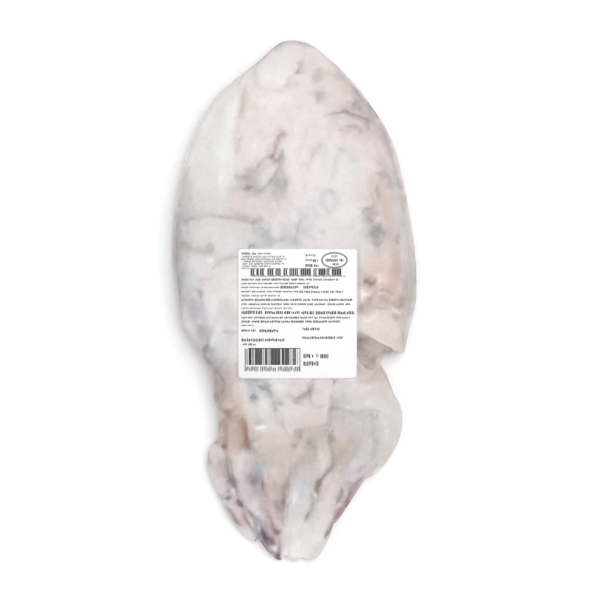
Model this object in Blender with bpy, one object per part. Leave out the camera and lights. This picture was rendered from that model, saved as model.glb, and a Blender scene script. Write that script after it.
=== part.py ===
"""A whole raw cuttlefish lying on its back, belly up, with an adhesive label on the mantle.

Metres, +Z up. The tail end of the mantle points to +Y and the arms to -Y. The origin is on the
surface that the cuttlefish lies on, below the middle of its outline.
"""

import math

import bmesh
import bpy
import numpy as np
from mathutils import Euler, Matrix, Vector
from mathutils.bvhtree import BVHTree

# Whole animal
LENGTH = 0.350
TAIL_Y = LENGTH / 2
BELOW = 0.002

# Mantle: distance from the tail end, half width to the left and to the right of its axis, height
MANTLE_LENGTH = 0.212
MANTLE_AXIS_X = -0.0034
MANTLE_STATIONS = (
    (0.0000, 0.0000, 0.0000, 0.0095),
    (0.0130, 0.0205, 0.0280, 0.0182),
    (0.0400, 0.0520, 0.0525, 0.0264),
    (0.0670, 0.0668, 0.0690, 0.0307),
    (0.1080, 0.0775, 0.0795, 0.0343),
    (0.1480, 0.0797, 0.0853, 0.0354),
    (0.1750, 0.0766, 0.0856, 0.0348),
    (0.2000, 0.0700, 0.0798, 0.0332),
    (0.2120, 0.0600, 0.0776, 0.0318),
)
MANTLE_WAIST = 0.0095
MANTLE_ARCH = 2.35
MANTLE_RINGS = 56
FIRST_RING = 0.012
RING_CROWDING = 1.6
TAIL_TUCK = 0.006
TAIL_TUCK_REACH = 0.012
LIP_ROUNDING = 0.0045
LIP_CORNER = 0.0016

# The mantle's open edge, which runs unevenly across the neck: x, and distance from the tail end
MARGIN = (
    (-0.0705, 0.2108),
    (-0.0618, 0.2145),
    (-0.0369, 0.2190),
    (0.0034, 0.2150),
    (0.0417, 0.1975),
    (0.0605, 0.2085),
    (0.0732, 0.2120),
)
MARGIN_REACH = 0.060

# Fins: a thin band along each side of the mantle, which shows past its flank and fades out
FIN_START = 0.006
FIN_HALF_WIDTH = 0.0062
FIN_HALF_THICKNESS = 0.0025
FIN_HEIGHT = 0.0062
FIN_WAVE = 0.0007
FIN_WAVE_LENGTH = 0.034
FIN_SHOWS = {"left": 0.0026, "right": 0.0052}
FIN_GROWS = 0.030
FIN_FADES = {"left": 0.150, "right": 0.185}
FIN_STOPS = {"left": 0.198, "right": 0.211}
FIN_LEAST = 0.0006
FIN_RINGS = 60
FIN_SECTION_POINTS = 20

# Head: distance along Y, left and right edge, height
HEAD_STATIONS = (
    (-0.0150, -0.0580, 0.0400, 0.0300),
    (-0.0300, -0.0622, 0.0555, 0.0308),
    (-0.0380, -0.0618, 0.0584, 0.0308),
    (-0.0450, -0.0596, 0.0556, 0.0302),
    (-0.0534, -0.0560, 0.0530, 0.0286),
    (-0.0668, -0.0546, 0.0510, 0.0256),
    (-0.0803, -0.0502, 0.0500, 0.0228),
    (-0.0937, -0.0515, 0.0500, 0.0192),
    (-0.1060, -0.0525, 0.0470, 0.0145),
    (-0.1160, -0.0470, 0.0400, 0.0095),
)
HEAD_WAIST = 0.0075
SLAB_ARCH = 2.7
SLAB_RINGS = 28

# Thin web of skin that joins the arms: distance along Y, left and right edge, height
WEB_STATIONS = (
    (-0.0900, -0.0480, 0.0560, 0.0085),
    (-0.1060, -0.0540, 0.0540, 0.0085),
    (-0.1200, -0.0505, 0.0420, 0.0080),
    (-0.1370, -0.0400, 0.0330, 0.0075),
    (-0.1530, -0.0280, 0.0225, 0.0068),
    (-0.1650, -0.0155, 0.0130, 0.0060),
    (-0.1715, -0.0105, 0.0095, 0.0052),
)
WEB_WAIST = 0.0035

# Round limbs: each follows a line of places, given as x, y and half width. Its thickness is a share
# of its width, and its root is lifted off the table.
LIMBS = {
    "arm_flap": {
        "stations": (
            (-0.0495, -0.0935, 0.0042),
            (-0.0524, -0.1020, 0.0060),
            (-0.0524, -0.1090, 0.0068),
            (-0.0490, -0.1206, 0.0068),
            (-0.0430, -0.1340, 0.0064),
            (-0.0362, -0.1475, 0.0058),
            (-0.0258, -0.1640, 0.0030),
        ),
        "flatness": 0.82,
        "lift": 0.000,
    },
    "arm_second": {
        "stations": (
            (-0.0360, -0.0800, 0.0080),
            (-0.0349, -0.1004, 0.0100),
            (-0.0316, -0.1206, 0.0098),
            (-0.0272, -0.1340, 0.0090),
            (-0.0222, -0.1475, 0.0082),
            (-0.0168, -0.1609, 0.0066),
            (-0.0090, -0.1768, 0.0029),
        ),
        "flatness": 0.86,
        "lift": 0.003,
    },
    "arm_third": {
        "stations": (
            (-0.0145, -0.0900, 0.0085),
            (-0.0134, -0.1071, 0.0082),
            (-0.0121, -0.1340, 0.0062),
            (-0.0101, -0.1475, 0.0046),
            (-0.0080, -0.1620, 0.0028),
        ),
        "flatness": 0.80,
        "lift": 0.003,
    },
    "arm_centre": {
        "stations": (
            (0.0085, -0.0850, 0.0085),
            (0.0074, -0.1038, 0.0105),
            (0.0047, -0.1273, 0.0095),
            (0.0027, -0.1407, 0.0080),
            (0.0009, -0.1542, 0.0068),
            (0.0000, -0.1676, 0.0058),
            (0.0000, -0.1762, 0.0046),
        ),
        "flatness": 0.92,
        "lift": 0.003,
    },
    "arm_fifth": {
        "stations": (
            (0.0300, -0.0900, 0.0065),
            (0.0290, -0.1080, 0.0078),
            (0.0228, -0.1273, 0.0088),
            (0.0188, -0.1407, 0.0092),
            (0.0156, -0.1542, 0.0090),
            (0.0118, -0.1660, 0.0072),
            (0.0086, -0.1760, 0.0046),
        ),
        "flatness": 0.86,
        "lift": 0.002,
    },
    "arm_sixth": {
        "stations": (
            (0.0480, -0.0950, 0.0075),
            (0.0440, -0.1105, 0.0078),
            (0.0392, -0.1206, 0.0068),
            (0.0326, -0.1340, 0.0052),
            (0.0238, -0.1515, 0.0034),
        ),
        "flatness": 0.86,
        "lift": 0.001,
    },
    "arm_pouch": {
        "stations": (
            (0.0512, -0.0395, 0.0088),
            (0.0490, -0.0534, 0.0150),
            (0.0484, -0.0668, 0.0200),
            (0.0502, -0.0803, 0.0223),
            (0.0504, -0.0937, 0.0192),
            (0.0478, -0.1065, 0.0130),
            (0.0392, -0.1200, 0.0070),
        ),
        "flatness": 0.46,
        "lift": 0.000,
    },
    "funnel": {
        "stations": (
            (0.0075, -0.0420, 0.0150),
            (0.0085, -0.0620, 0.0158),
            (0.0095, -0.0860, 0.0125),
        ),
        "flatness": 0.62,
        "lift": 0.010,
    },
    "eye_mound": {
        "stations": (
            (-0.0440, -0.0700, 0.0080),
            (-0.0405, -0.0860, 0.0095),
            (-0.0420, -0.0960, 0.0070),
        ),
        "flatness": 0.86,
        "lift": 0.003,
    },
}
LIMB_RINGS = 36
LIMB_END = 0.10
LIMB_TIP = 0.06
SINK = 0.0008

# Hollow below the mantle's edge, on the right of the neck
POCKET_CENTRE = (0.0500, -0.0345, 0.0190)
POCKET_RADII = (0.0165, 0.0108, 0.0090)
POCKET_TURN = math.radians(-18)

# Folds of the belly skin: the line that each follows, its half width and its height
FOLDS = {
    "side_fold": {
        "line": (
            (-0.0740, 0.0520),
            (-0.0640, 0.0568),
            (-0.0470, 0.0570),
            (-0.0300, 0.0535),
            (-0.0210, 0.0540),
        ),
        "half_width": 0.0060,
        "height": 0.0013,
    },
    "lower_fold": {
        "line": ((-0.0790, 0.0410), (-0.0700, 0.0350), (-0.0560, 0.0325)),
        "half_width": 0.0055,
        "height": -0.0014,
    },
    "membrane_edge": {
        "line": ((-0.0336, 0.1535), (-0.0380, 0.1280), (-0.0405, 0.1080), (-0.0410, 0.0900)),
        "half_width": 0.0055,
        "height": -0.0012,
    },
    "collar_fold": {
        "line": ((0.0400, -0.0020), (0.0560, -0.0055), (0.0740, -0.0040)),
        "half_width": 0.0050,
        "height": -0.0013,
    },
    "tail_crease": {
        "line": ((0.0215, 0.1255), (0.0340, 0.1280), (0.0425, 0.1235), (0.0540, 0.1180)),
        "half_width": 0.0050,
        "height": -0.0012,
    },
    "neck_crease": {
        "line": ((0.0258, -0.0540), (0.0255, -0.0750), (0.0255, -0.0930), (0.0262, -0.1080)),
        "half_width": 0.0050,
        "height": -0.0022,
    },
    "funnel_edge": {
        "line": ((-0.0080, -0.0870), (0.0080, -0.0895), (0.0240, -0.0850)),
        "half_width": 0.0050,
        "height": -0.0014,
    },
}
FOLD_TAPER = 0.22
FOLD_POINTS = 24

# Finish of the mesh
SECTION_POINTS = 44
VOXEL = 0.0015
SMOOTHING_STEPS = 14
TRIANGLES = 11300

# Label
LABEL_WIDTH = 0.078
LABEL_LENGTH = 0.085
LABEL_CENTRE = (0.0017, -0.0088)
LABEL_THICKNESS = 0.0004
LABEL_GAP = 0.0004
LABEL_CORNER = 0.0022
LABEL_CELLS = (20, 22)
LABEL_PROBES = 5
LABEL_RELAX_STEPS = 160

COLOURS = {
    "cuttlefish": (0.80, 0.74, 0.72, 1.0),
    "label": (0.93, 0.93, 0.92, 1.0),
}


def clear_scene():
    for thing in list(bpy.data.objects):
        bpy.data.objects.remove(thing)


def material(name, roughness):
    made = bpy.data.materials.new(name)
    made.use_nodes = True
    shader = made.node_tree.nodes["Principled BSDF"]
    shader.inputs["Base Color"].default_value = COLOURS[name]
    shader.inputs["Roughness"].default_value = roughness
    shader.inputs["Metallic"].default_value = 0.0
    return made


def smooth_curve(knots, values, at):
    """Values at any places between the knots, on a smooth curve that passes through all of them."""
    knots = np.asarray(knots, float)
    values = np.asarray(values, float)
    steps = np.diff(knots)
    slopes = np.diff(values) / steps
    tangents = np.concatenate([slopes[:1], (slopes[:-1] + slopes[1:]) / 2, slopes[-1:]])
    at = np.clip(np.asarray(at, float), knots[0], knots[-1])
    k = np.clip(np.searchsorted(knots, at, side="right") - 1, 0, len(steps) - 1)
    t = (at - knots[k]) / steps[k]
    rise = values[k] * (1 + 2 * t) * (1 - t) ** 2 + values[k + 1] * t**2 * (3 - 2 * t)
    return rise + steps[k] * (tangents[k] * t * (1 - t) ** 2 - tangents[k + 1] * t**2 * (1 - t))


def smooth_line(points, count):
    """Evenly numbered points on a smooth line through a few given ones."""
    points = np.asarray(points, float)
    knots = np.arange(len(points))
    at = np.linspace(0, len(points) - 1, count)
    return np.stack([smooth_curve(knots, points[:, i], at) for i in range(points.shape[1])], axis=1)


def ease(t):
    t = np.clip(t, 0, 1)
    return t * t * (3 - 2 * t)


def mesh_object(name, rings):
    """A closed surface through rings of equally many points, with a flat cap on the first and last."""
    mesh = bpy.data.meshes.new(name)
    shell = bmesh.new()
    loops = [[shell.verts.new(point) for point in ring] for ring in rings]
    for near, far in zip(loops, loops[1:]):
        for i in range(len(near)):
            j = (i + 1) % len(near)
            shell.faces.new((near[i], near[j], far[j], far[i]))
    shell.faces.new(loops[0][::-1])
    shell.faces.new(loops[-1])
    bmesh.ops.recalc_face_normals(shell, faces=shell.faces)
    shell.to_mesh(mesh)
    shell.free()
    made = bpy.data.objects.new(name, mesh)
    bpy.context.scene.collection.objects.link(made)
    return made


def section(left, right, waist, high, low, arch, keel=3.6):
    """x and z round one cross-section: an arched back above the waist, a flat keel below it."""
    angles = np.linspace(0, 2 * math.pi, SECTION_POINTS, endpoint=False)
    across, up = np.cos(angles), np.sin(angles)
    bend = np.where(up > 0, arch, keel)
    centre, half = (left + right) / 2, (right - left) / 2
    x = centre + half * np.sign(across) * np.abs(across) ** (2 / bend)
    reach = np.where(up > 0, high - waist, waist - low)
    z = waist + reach * np.sign(up) * np.abs(up) ** (2 / bend)
    return x, z


def mantle_edges(distance):
    """Half widths to the left and right, and height, at some distance from the tail end."""
    table = np.asarray(MANTLE_STATIONS)
    root = np.sqrt(table[:, 0])
    at = np.sqrt(distance)
    return [smooth_curve(root, table[:, column], at) for column in (1, 2, 3)]


def margin(x):
    """Distance from the tail end to the mantle's open edge, at some place across the neck."""
    table = np.asarray(MARGIN)
    return smooth_curve(table[:, 0], table[:, 1], x)


def fin_shows(side, distance):
    """How far the fin reaches past the mantle's flank, at some distance from the tail end."""
    grows = ease(distance / FIN_GROWS)
    fades = 1 - ease((distance - FIN_FADES[side]) / (FIN_STOPS[side] - FIN_FADES[side]))
    return (FIN_SHOWS[side] - FIN_LEAST) * grows * fades + FIN_LEAST * grows


def make_mantle():
    rings = []
    for t in np.linspace(FIRST_RING, 1, MANTLE_RINGS):
        distance = MANTLE_LENGTH * t**RING_CROWDING
        left, right, high = mantle_edges(distance)
        to_end = MANTLE_LENGTH - distance
        if to_end < LIP_ROUNDING:
            drop = LIP_ROUNDING - math.sqrt(LIP_ROUNDING**2 - (LIP_ROUNDING - to_end) ** 2)
        else:
            drop = 0.0
        corner = drop * LIP_CORNER / LIP_ROUNDING
        left_x = MANTLE_AXIS_X - left + fin_shows("left", distance) + corner
        right_x = MANTLE_AXIS_X + right - fin_shows("right", distance) - corner
        low = TAIL_TUCK * max(0, 1 - distance / TAIL_TUCK_REACH) - BELOW
        x, z = section(left_x, right_x, MANTLE_WAIST, high - drop, low + drop, MANTLE_ARCH)
        follow = ease((distance - (MANTLE_LENGTH - MARGIN_REACH)) / MARGIN_REACH)
        y = TAIL_Y - distance - (margin(x) - MANTLE_LENGTH) * follow
        rings.append(np.stack([x, y, z], axis=1))
    return mesh_object("mantle", rings)


def make_fin(side):
    """The thin fin that hugs one side of the mantle."""
    sign = -1 if side == "left" else 1
    distances = np.linspace(FIN_START, FIN_STOPS[side], FIN_RINGS)
    left, right, _ = mantle_edges(distances)
    edge = left if side == "left" else right
    angles = np.linspace(0, 2 * math.pi, FIN_SECTION_POINTS, endpoint=False)
    rings = []
    for distance, reach in zip(distances, edge):
        shows = fin_shows(side, distance)
        size = 0.5 + 0.5 * ease((shows - FIN_LEAST) / FIN_LEAST)
        wave = FIN_WAVE * math.sin(2 * math.pi * distance / FIN_WAVE_LENGTH)
        middle = MANTLE_AXIS_X + sign * (reach - FIN_HALF_WIDTH * size)
        x = middle + FIN_HALF_WIDTH * size * np.cos(angles)
        z = FIN_HEIGHT + wave + FIN_HALF_THICKNESS * size * np.sin(angles)
        rings.append(np.stack([x, np.full_like(x, TAIL_Y - distance), z], axis=1))
    return mesh_object("fin_" + side, rings)


def make_slab(name, stations, waist):
    """A low body lofted through sections that each have a left edge, a right edge and a height."""
    table = np.asarray(stations)
    rings = []
    for y in np.linspace(table[0, 0], table[-1, 0], SLAB_RINGS):
        left, right, high = (smooth_curve(-table[:, 0], table[:, c], -y) for c in (1, 2, 3))
        x, z = section(left, right, waist, high, -BELOW, SLAB_ARCH)
        rings.append(np.stack([x, np.full_like(x, y), z], axis=1))
    return mesh_object(name, rings)


def make_limb(name, stations, flatness, lift):
    """A round tapering limb that lies on the table along its line, with rounded ends."""
    path = smooth_line(stations, LIMB_RINGS)
    angles = np.linspace(0, 2 * math.pi, SECTION_POINTS // 2, endpoint=False)
    tangents = np.gradient(path[:, :2], axis=0)
    tangents /= np.linalg.norm(tangents, axis=1, keepdims=True)
    rings = []
    for t, (x, y, width), along in zip(np.linspace(0, 1, LIMB_RINGS), path, tangents):
        end = min(t, 1 - t) / LIMB_END
        if end < 1:
            width *= LIMB_TIP + (1 - LIMB_TIP) * math.sqrt(1 - (1 - end) ** 2)
        crown = width * flatness
        height = crown + lift * (1 - t) - SINK
        across = width * np.cos(angles)
        up = height + crown * np.sin(angles)
        rings.append(np.stack([x + along[1] * across, y - along[0] * across, up], axis=1))
    return mesh_object(name, rings)


def make_pocket():
    bpy.ops.mesh.primitive_uv_sphere_add(segments=32, ring_count=18, radius=1, location=(0, 0, 0))
    pocket = bpy.context.object
    pocket.name = "pocket"
    turn = Euler((0, 0, POCKET_TURN))
    pocket.data.transform(Matrix.LocRotScale(Vector(POCKET_CENTRE), turn, Vector(POCKET_RADII)))
    return pocket


def evaluated_copy(thing, name):
    """A new object that holds the mesh as its modifiers leave it."""
    graph = bpy.context.evaluated_depsgraph_get()
    mesh = bpy.data.meshes.new_from_object(thing.evaluated_get(graph))
    mesh.name = name
    made = bpy.data.objects.new(name, mesh)
    bpy.context.scene.collection.objects.link(made)
    return made


def fuse(pieces, pocket):
    """One solid of all the pieces, less the pocket."""
    joined = bpy.data.collections.new("joined")
    bpy.context.scene.collection.children.link(joined)
    first, *others = pieces
    for other in others:
        bpy.context.scene.collection.objects.unlink(other)
        joined.objects.link(other)
    union = first.modifiers.new("union", "BOOLEAN")
    union.operation = "UNION"
    union.operand_type = "COLLECTION"
    union.collection = joined
    union.solver = "MANIFOLD"
    cut = first.modifiers.new("pocket", "BOOLEAN")
    cut.operation = "DIFFERENCE"
    cut.object = pocket
    cut.solver = "MANIFOLD"
    fused = evaluated_copy(first, "fused")
    for piece in [*pieces, pocket]:
        bpy.data.objects.remove(piece)
    bpy.data.collections.remove(joined)
    return fused


def soften(fused):
    """The fused pieces with their seams blended into one skin."""
    skin = fused.modifiers.new("skin", "REMESH")
    skin.mode = "VOXEL"
    skin.voxel_size = VOXEL
    blend = fused.modifiers.new("blend", "SMOOTH")
    blend.factor = 0.5
    blend.iterations = SMOOTHING_STEPS
    soft = evaluated_copy(fused, "soft")
    bpy.data.objects.remove(fused)
    return soft


def nearest_on_line(points, line):
    """Distance in plan from each point to a line of straight runs, and how far along that is."""
    nearest = np.full(len(points), np.inf)
    place = np.zeros(len(points))
    for i, (a, b) in enumerate(zip(line, line[1:])):
        run = b - a
        t = np.clip(((points - a) @ run) / (run @ run), 0, 1)
        gap = np.linalg.norm(points - a - t[:, None] * run, axis=1)
        closer = gap < nearest
        nearest[closer] = gap[closer]
        place[closer] = (i + t[closer]) / (len(line) - 1)
    return nearest, place


def add_folds(thing):
    """Raises or sinks the belly skin along each fold."""
    mesh = thing.data
    places = np.empty(len(mesh.vertices) * 3)
    mesh.vertices.foreach_get("co", places)
    places = places.reshape(-1, 3)
    normals = np.empty(len(mesh.vertices) * 3)
    mesh.vertex_normals.foreach_get("vector", normals)
    upward = np.clip(normals.reshape(-1, 3)[:, 2], 0, 1)
    for fold in FOLDS.values():
        gap, place = nearest_on_line(places[:, :2], smooth_line(fold["line"], FOLD_POINTS))
        taper = ease(np.minimum(place, 1 - place) / FOLD_TAPER)
        across = np.exp(-2 * (gap / fold["half_width"]) ** 2)
        places[:, 2] += fold["height"] * upward * taper * across
    mesh.vertices.foreach_set("co", places.ravel())
    mesh.update()


def lighten(soft):
    """The same skin with fewer triangles, large ones where it is flat."""
    thin = soft.modifiers.new("thin", "DECIMATE")
    thin.ratio = TRIANGLES / (2 * len(soft.data.polygons))
    light = evaluated_copy(soft, "cuttlefish")
    bpy.data.objects.remove(soft)
    return light


def flatten_underside(thing):
    """Cuts the solid level with the table, so that it rests on one flat face."""
    shell = bmesh.new()
    shell.from_mesh(thing.data)
    everything = shell.verts[:] + shell.edges[:] + shell.faces[:]
    cut = bmesh.ops.bisect_plane(
        shell, geom=everything, plane_co=(0, 0, 0), plane_no=(0, 0, 1), clear_inner=True
    )
    rim = [item for item in cut["geom_cut"] if isinstance(item, bmesh.types.BMEdge)]
    bmesh.ops.edgeloop_fill(shell, edges=rim)
    drop_scraps(shell)
    bmesh.ops.triangulate(shell, faces=shell.faces)
    bmesh.ops.recalc_face_normals(shell, faces=shell.faces)
    shell.to_mesh(thing.data)
    shell.free()


def drop_scraps(shell):
    """Keeps the largest connected body and deletes any loose scrap beside it."""
    left = set(shell.verts)
    islands = []
    while left:
        island = [left.pop()]
        for vert in island:
            near = {other for edge in vert.link_edges for other in edge.verts} & left
            left -= near
            island.extend(near)
        islands.append(island)
    islands.sort(key=len)
    scraps = [vert for island in islands[:-1] for vert in island]
    bmesh.ops.delete(shell, geom=scraps, context="VERTS")


def make_cuttlefish():
    pieces = [make_mantle(), make_fin("left"), make_fin("right")]
    pieces.append(make_slab("head", HEAD_STATIONS, HEAD_WAIST))
    pieces.append(make_slab("web", WEB_STATIONS, WEB_WAIST))
    for name, limb in LIMBS.items():
        pieces.append(make_limb(name, **limb))
    soft = soften(fuse(pieces, make_pocket()))
    add_folds(soft)
    cuttlefish = lighten(soft)
    flatten_underside(cuttlefish)
    cuttlefish.data.shade_smooth()
    cuttlefish.data.materials.clear()
    cuttlefish.data.materials.append(material("cuttlefish", 0.32))
    return cuttlefish


def label_heights(body):
    """Height of the label's underside on a grid: it lies on the body and bridges its hollows."""
    tree = BVHTree.FromObject(body, bpy.context.evaluated_depsgraph_get())
    columns, rows = LABEL_CELLS
    xs = LABEL_CENTRE[0] + np.linspace(-LABEL_WIDTH / 2, LABEL_WIDTH / 2, columns + 1)
    ys = LABEL_CENTRE[1] + np.linspace(-LABEL_LENGTH / 2, LABEL_LENGTH / 2, rows + 1)
    steps = np.linspace(-1, 1, LABEL_PROBES)
    cell = (xs[1] - xs[0], ys[1] - ys[0])
    floor = np.zeros((rows + 1, columns + 1))
    for j, y in enumerate(ys):
        for i, x in enumerate(xs):
            for dx in steps * cell[0]:
                for dy in steps * cell[1]:
                    above = Vector((x + dx, y + dy, LENGTH))
                    hit = tree.ray_cast(above, Vector((0, 0, -1)))[0]
                    if hit is not None:
                        floor[j, i] = max(floor[j, i], hit.z)
    floor += LABEL_GAP
    heights = floor.copy()
    for _ in range(LABEL_RELAX_STEPS):
        relaxed = heights.copy()
        relaxed[1:-1, 1:-1] = (
            heights[:-2, 1:-1] + heights[2:, 1:-1] + heights[1:-1, :-2] + heights[1:-1, 2:]
        ) / 4
        for edge in ((0, slice(None)), (-1, slice(None)), (slice(None), 0), (slice(None), -1)):
            strip = heights[edge]
            relaxed[edge][1:-1] = (strip[:-2] + strip[2:]) / 2
        heights = np.maximum(floor, relaxed)
    return xs, ys, heights


def make_label(body):
    """A thin sheet with rounded corners that follows the belly."""
    xs, ys, heights = label_heights(body)
    half = np.array([LABEL_WIDTH / 2, LABEL_LENGTH / 2])
    middle = np.array(LABEL_CENTRE)
    sheet = bmesh.new()
    grid = []
    for j, y in enumerate(ys):
        row = []
        for i, x in enumerate(xs):
            offset = np.array([x, y]) - middle
            inner = half - LABEL_CORNER
            over = np.abs(offset) - inner
            if (over > 0).all():
                over *= LABEL_CORNER / max(np.linalg.norm(over), LABEL_CORNER)
                offset = np.sign(offset) * (inner + over)
            row.append(sheet.verts.new((*(middle + offset), heights[j, i])))
        grid.append(row)
    for low, high in zip(grid, grid[1:]):
        for i in range(len(low) - 1):
            sheet.faces.new((low[i], low[i + 1], high[i + 1], high[i]))
    mesh = bpy.data.meshes.new("label")
    sheet.to_mesh(mesh)
    sheet.free()
    label = bpy.data.objects.new("label", mesh)
    bpy.context.scene.collection.objects.link(label)
    body_of_sheet = label.modifiers.new("thickness", "SOLIDIFY")
    body_of_sheet.thickness = LABEL_THICKNESS
    body_of_sheet.offset = 1
    label.data.shade_smooth()
    label.data.materials.append(material("label", 0.45))
    return label


def main():
    clear_scene()
    cuttlefish = make_cuttlefish()
    make_label(cuttlefish)


main()
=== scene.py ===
"""The looks of a whole raw cuttlefish that lies belly up under clinging film, with a label on it.

The skin is the CAD solid's form again, from the same named sizes, on a finer mesh. Folds are then
sculpted into it and its colours painted on it, both as named strokes and patches. Those are placed
by pixels of the reference photograph, in its 600 by 600 frame, looked at from the camera's eye.
"""

import itertools
import math

import bmesh
import bpy
import numpy as np
from mathutils import Euler, Matrix, Vector
from mathutils.bvhtree import BVHTree


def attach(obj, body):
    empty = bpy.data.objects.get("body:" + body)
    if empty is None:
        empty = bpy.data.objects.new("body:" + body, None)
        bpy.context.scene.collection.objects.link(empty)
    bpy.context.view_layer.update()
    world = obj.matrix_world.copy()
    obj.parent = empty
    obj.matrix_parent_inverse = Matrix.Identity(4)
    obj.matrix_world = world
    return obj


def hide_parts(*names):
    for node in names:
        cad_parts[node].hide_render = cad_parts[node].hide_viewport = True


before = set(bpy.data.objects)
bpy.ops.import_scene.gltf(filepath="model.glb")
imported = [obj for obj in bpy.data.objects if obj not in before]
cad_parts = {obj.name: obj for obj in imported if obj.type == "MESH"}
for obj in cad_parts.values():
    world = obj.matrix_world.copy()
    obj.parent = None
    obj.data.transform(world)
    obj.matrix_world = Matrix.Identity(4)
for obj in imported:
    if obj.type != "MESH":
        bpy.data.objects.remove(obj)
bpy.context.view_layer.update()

# Sizes are in metres, and places on the picture in pixels, unless a comment says otherwise
LENGTH = 0.350
TAIL_Y = LENGTH / 2
BELOW = 0.002

# Mantle: distance from the tail end, half width to the left and to the right of its axis, height
MANTLE_LENGTH = 0.212
MANTLE_AXIS_X = -0.0034
MANTLE_STATIONS = (
    (0.0000, 0.0000, 0.0000, 0.0095),
    (0.0130, 0.0205, 0.0280, 0.0182),
    (0.0400, 0.0520, 0.0525, 0.0264),
    (0.0670, 0.0668, 0.0690, 0.0307),
    (0.1080, 0.0775, 0.0795, 0.0343),
    (0.1480, 0.0797, 0.0853, 0.0354),
    (0.1750, 0.0766, 0.0856, 0.0348),
    (0.2000, 0.0700, 0.0798, 0.0332),
    (0.2120, 0.0600, 0.0776, 0.0318),
)
MANTLE_WAIST = 0.0095
MANTLE_ARCH = 2.35
MANTLE_RINGS = 130
FIRST_RING = 0.012
RING_CROWDING = 1.6
TAIL_TUCK = 0.006
TAIL_TUCK_REACH = 0.012
LIP_ROUNDING = 0.0045
LIP_CORNER = 0.0016

# The mantle's open edge, which runs unevenly across the neck: x, and distance from the tail end
MARGIN = (
    (-0.0705, 0.2108),
    (-0.0618, 0.2145),
    (-0.0369, 0.2190),
    (0.0034, 0.2150),
    (0.0417, 0.1975),
    (0.0605, 0.2085),
    (0.0732, 0.2120),
)
MARGIN_REACH = 0.060

# Fins: a thin band along each side of the mantle, which shows past its flank and fades out
FIN_START = 0.006
FIN_HALF_WIDTH = 0.0062
FIN_HALF_THICKNESS = 0.0025
FIN_HEIGHT = 0.0062
FIN_WAVE = 0.0007
FIN_WAVE_LENGTH = 0.034
FIN_SHOWS = {"left": 0.0026, "right": 0.0052}
FIN_GROWS = 0.030
FIN_FADES = {"left": 0.150, "right": 0.185}
FIN_STOPS = {"left": 0.198, "right": 0.211}
FIN_LEAST = 0.0006
FIN_RINGS = 130
FIN_SECTION_POINTS = 28

# Head: distance along Y, left and right edge, height
HEAD_STATIONS = (
    (-0.0150, -0.0580, 0.0400, 0.0300),
    (-0.0300, -0.0622, 0.0555, 0.0308),
    (-0.0380, -0.0618, 0.0584, 0.0308),
    (-0.0450, -0.0596, 0.0556, 0.0302),
    (-0.0534, -0.0560, 0.0530, 0.0286),
    (-0.0668, -0.0546, 0.0510, 0.0256),
    (-0.0803, -0.0502, 0.0500, 0.0228),
    (-0.0937, -0.0515, 0.0500, 0.0192),
    (-0.1060, -0.0525, 0.0470, 0.0145),
    (-0.1160, -0.0470, 0.0400, 0.0095),
)
HEAD_WAIST = 0.0075
SLAB_ARCH = 2.7
SLAB_RINGS = 60

# Thin web of skin that joins the arms: distance along Y, left and right edge, height
WEB_STATIONS = (
    (-0.0900, -0.0480, 0.0560, 0.0085),
    (-0.1060, -0.0540, 0.0540, 0.0085),
    (-0.1200, -0.0505, 0.0420, 0.0080),
    (-0.1370, -0.0400, 0.0330, 0.0075),
    (-0.1530, -0.0280, 0.0225, 0.0068),
    (-0.1650, -0.0155, 0.0130, 0.0060),
    (-0.1715, -0.0105, 0.0095, 0.0052),
)
WEB_WAIST = 0.0035

# Round limbs, one to a line: name, thickness as a share of width, lift of the root off the table, and
# the places that the limb follows, each as x, y and half width
LIMBS = """
arm_flap: 0.82 0 -0.0495,-0.0935,0.0042 -0.0524,-0.102,0.006 -0.0524,-0.109,0.0068 -0.049,-0.1206,0.0068
    -0.043,-0.134,0.0064 -0.0362,-0.1475,0.0058 -0.0258,-0.164,0.003
arm_second: 0.86 0.003 -0.036,-0.08,0.008 -0.0349,-0.1004,0.01 -0.0316,-0.1206,0.0098 -0.0272,-0.134,0.009
    -0.0222,-0.1475,0.0082 -0.0168,-0.1609,0.0066 -0.009,-0.1768,0.0029
arm_third: 0.8 0.003 -0.0145,-0.09,0.0085 -0.0134,-0.1071,0.0082 -0.0121,-0.134,0.0062
    -0.0101,-0.1475,0.0046 -0.008,-0.162,0.0028
arm_centre: 0.92 0.003 0.0085,-0.085,0.0085 0.0074,-0.1038,0.0105 0.0047,-0.1273,0.0095 0.0027,-0.1407,0.008
    0.0009,-0.1542,0.0068 0,-0.1676,0.0058 0,-0.1762,0.0046
arm_fifth: 0.86 0.002 0.03,-0.09,0.0065 0.029,-0.108,0.0078 0.0228,-0.1273,0.0088 0.0188,-0.1407,0.0092
    0.0156,-0.1542,0.009 0.0118,-0.166,0.0072 0.0086,-0.176,0.0046
arm_sixth: 0.86 0.001 0.048,-0.095,0.0075 0.044,-0.1105,0.0078 0.0392,-0.1206,0.0068 0.0326,-0.134,0.0052
    0.0238,-0.1515,0.0034
arm_pouch: 0.46 0 0.0512,-0.0395,0.0088 0.049,-0.0534,0.015 0.0484,-0.0668,0.02 0.0502,-0.0803,0.0223
    0.0504,-0.0937,0.0192 0.0478,-0.1065,0.013 0.0392,-0.12,0.007
funnel: 0.62 0.01 0.0075,-0.042,0.015 0.0085,-0.062,0.0158 0.0095,-0.086,0.0125
eye_mound: 0.8 0.003 -0.044,-0.07,0.008 -0.0415,-0.086,0.0105 -0.0425,-0.096,0.0088
"""
# Each limb's end is rounded over a share of its length, down to a share of its width
LIMB_RINGS = 70
LIMB_END = 0.10
LIMB_TIP = 0.06
SINK = 0.0008

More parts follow.
